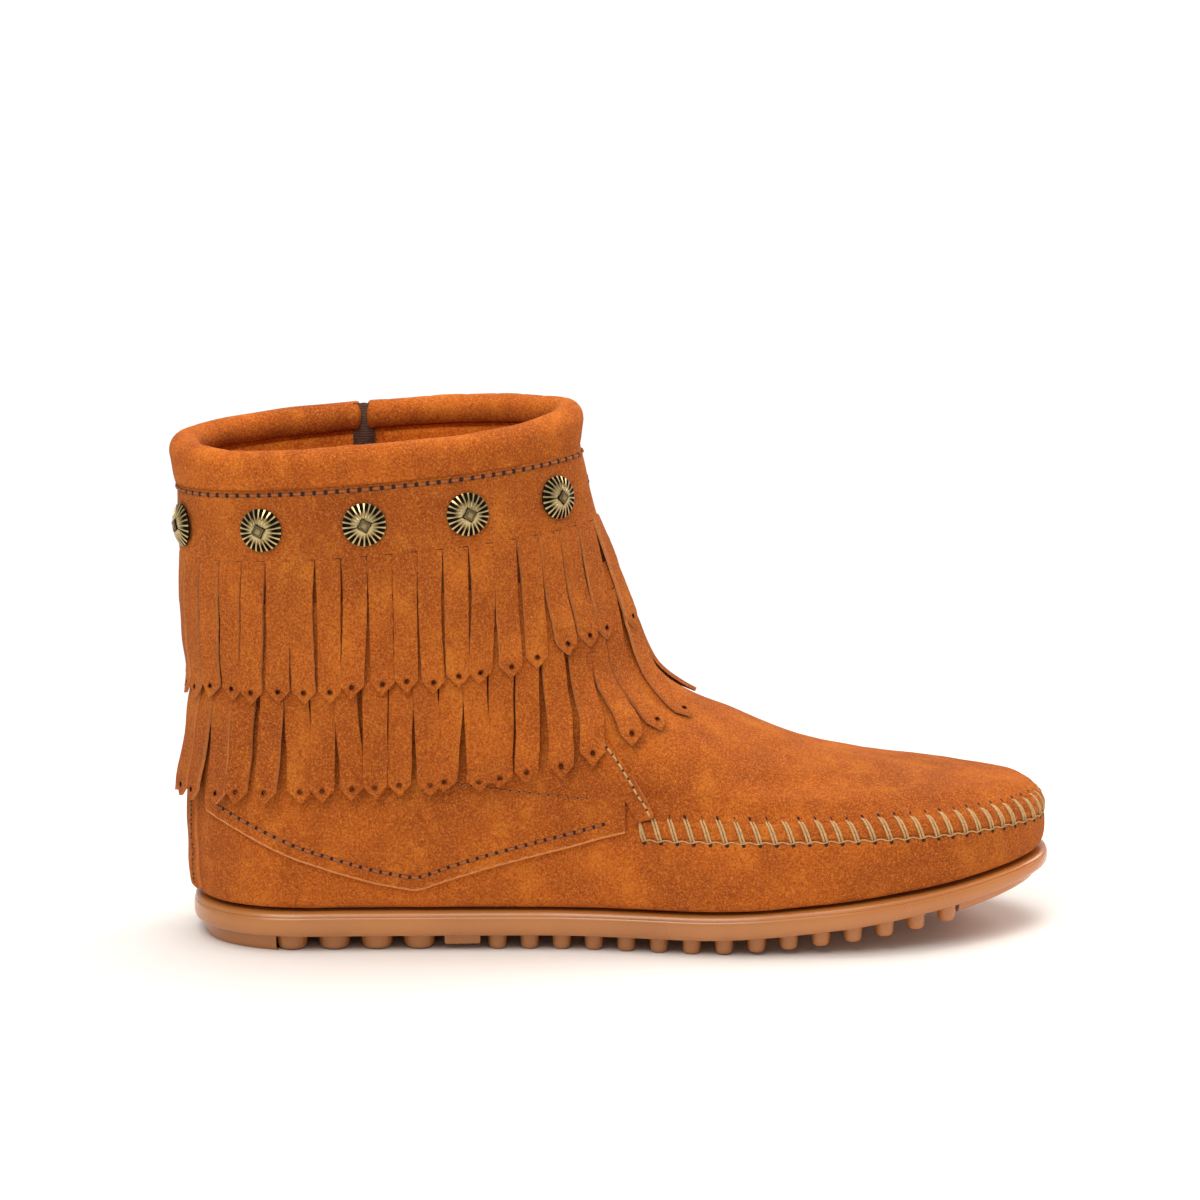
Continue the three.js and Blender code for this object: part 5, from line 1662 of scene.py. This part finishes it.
def buildPull():
    x, z = zipSizes["x"], sliderZ
    length, width = zipSizes["pullLength"], zipSizes["pullWidth"]
    hole = zipSizes["archLength"] / 2 + zipSizes["play"] * 4
    arm = (width - zipSizes["pullHole"]) / 2
    blade = block((width, zipSizes["pullThickness"], length - hole - width / 2),
                  (x, pivotY, z - hole - (length - hole - width / 2) / 2), 0.0)
    tip = (x, pivotY, z - length + width / 2)
    flat = (math.pi / 2, 0, 0)
    bpy.ops.mesh.primitive_cylinder_add(
        vertices=48, radius=width / 2, depth=zipSizes["pullThickness"], location=tip, rotation=flat)
    useUp(blade, bpy.context.active_object, "UNION")
    bpy.ops.mesh.primitive_cylinder_add(vertices=32, radius=1.5, depth=6, location=tip, rotation=flat)
    useUp(blade, bpy.context.active_object)
    applyModifier(blade, "BEVEL", width=0.22, segments=3, limit_method="ANGLE")
    parts = [blade]
    for side in (-1, 1):
        parts.append(block((arm, zipSizes["pullThickness"], hole + zipSizes["barDiameter"] / 2),
                           (x + side * (zipSizes["pullHole"] + arm) / 2, pivotY,
                            z - (hole - zipSizes["barDiameter"] / 2) / 2), 0.25))
    bpy.ops.mesh.primitive_cylinder_add(vertices=24, radius=zipSizes["barDiameter"] / 2, depth=width - 0.4,
                                        location=(x, pivotY, z), rotation=(0, math.pi / 2, 0))
    parts.append(bpy.context.active_object)
    piece = joinAll(parts, "zip_pull_plate")
    scaleToMetres(piece)
    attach(piece, "zip_pull_tab")
    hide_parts("zip_pull")


buildTape()
buildTeeth()
buildSlider()
buildPull()
print("zip done")

# Facing inside the collar, in patches with their seams

def buildFacing():
    batch, thread = Batch(), Batch()
    drops = np.linspace(16.0, 1.0, 10)
    patches = [(0.02, 0.2), (0.205, 0.4), (0.405, 0.6), (0.605, 0.7435), (0.7665, 0.98)]
    for start, end in patches:
        around = np.linspace(start, end, 60)
        level = np.stack([levelBelowRim(around, drop) for drop in drops])
        grid = np.broadcast_to(around[None, :], level.shape)
        normal = frameAt(level, grid)[2]
        base = face(level, grid)
        points, faces = sheetPoints(base - normal * (upper["wall"] - 0.05),
                                    base - normal * (upper["wall"] + 0.7), 60, len(drops))
        batch.add(points, faces)
        line = np.linspace(start + 0.004, end - 0.004, 40)
        for item in range(39):
            spots = np.linspace(line[item], mix(line[item], line[item + 1], 0.68), 4)
            levels = levelBelowRim(spots, 14.6)
            depth = upper["wall"] + 0.7 + np.array([-0.2, 0.2, 0.2, -0.2])
            points = face(levels, spots) - frameAt(levels, spots)[2] * depth[:, None]
            stitch(thread, points, 0.25, 5)
    # The facing wears the brightened inside suede, painted light for the shade under the collar.
    for name, one, material in (("collar_facing", batch, suedeInsideBrightened),
                                ("facing_thread", thread, threadDark)):
        piece = one.build(name, material)
        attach(piece, "boot")


buildFacing()
print("facing done")

# Floor and light

stage = {"floor": (240, 236, 231)}


def buildStage():
    floor, shader, place = newMaterial("pale floor")
    tree = floor.node_tree
    shader.inputs["Base Color"].default_value = rgb(*stage["floor"])
    shader.inputs["Roughness"].default_value = 0.7
    # White glow away from the boot, so that only its own soft shadow shows.
    x, y, _ = place.parts()
    x = x - 0.11
    away = (x * x * 0.55 + y * y) ** 0.5
    glow = tree.nodes.new("ShaderNodeEmission")
    glow.inputs["Color"].default_value = (1.0, 1.0, 1.0, 1.0)
    glow.inputs["Strength"].default_value = 1.05
    blend = tree.nodes.new("ShaderNodeMixShader")
    tree.links.new(away.ramp(0.14, 0.36).socket, blend.inputs[0])
    tree.links.new(shader.outputs[0], blend.inputs[1])
    tree.links.new(glow.outputs[0], blend.inputs[2])
    tree.links.new(blend.outputs[0], tree.nodes["Material Output"].inputs["Surface"])
    bpy.ops.object.select_all(action="DESELECT")
    bpy.ops.mesh.primitive_plane_add(size=60.0, location=(0.0, 0.0, 0.0))
    ground = bpy.context.active_object
    ground.name = "floor"
    ground.data.materials.append(floor)
    world = bpy.data.worlds.new("studio")
    bpy.context.scene.world = world
    world.use_nodes = True
    world.node_tree.nodes["Background"].inputs["Color"].default_value = (1.0, 0.992, 0.98, 1.0)
    world.node_tree.nodes["Background"].inputs["Strength"].default_value = 0.6
    lights = [
        # name, place, aim, size, watts, colour
        ("key light", (-0.5, -1.3, 1.7), (0.1, 0.0, 0.05), 1.2, 26.0, (1.0, 0.98, 0.95)),
        ("top light", (0.3, 0.2, 1.9), (0.1, 0.0, 0.05), 1.4, 25.0, (1.0, 0.99, 0.97)),
        ("rim light", (1.3, 0.9, 1.0), (0.1, 0.0, 0.08), 0.8, 8.0, (1.0, 0.97, 0.93)),
    ]
    for name, place, aim, size, power, colour in lights:
        data = bpy.data.lights.new(name, "AREA")
        data.size = size
        data.energy = power
        data.color = colour
        lamp = bpy.data.objects.new(name, data)
        lamp.location = place
        lamp.rotation_euler = (Vector(aim) - Vector(place)).to_track_quat("-Z", "Y").to_euler()
        bpy.context.scene.collection.objects.link(lamp)


buildStage()
bpy.context.scene.view_settings.view_transform = "Standard"
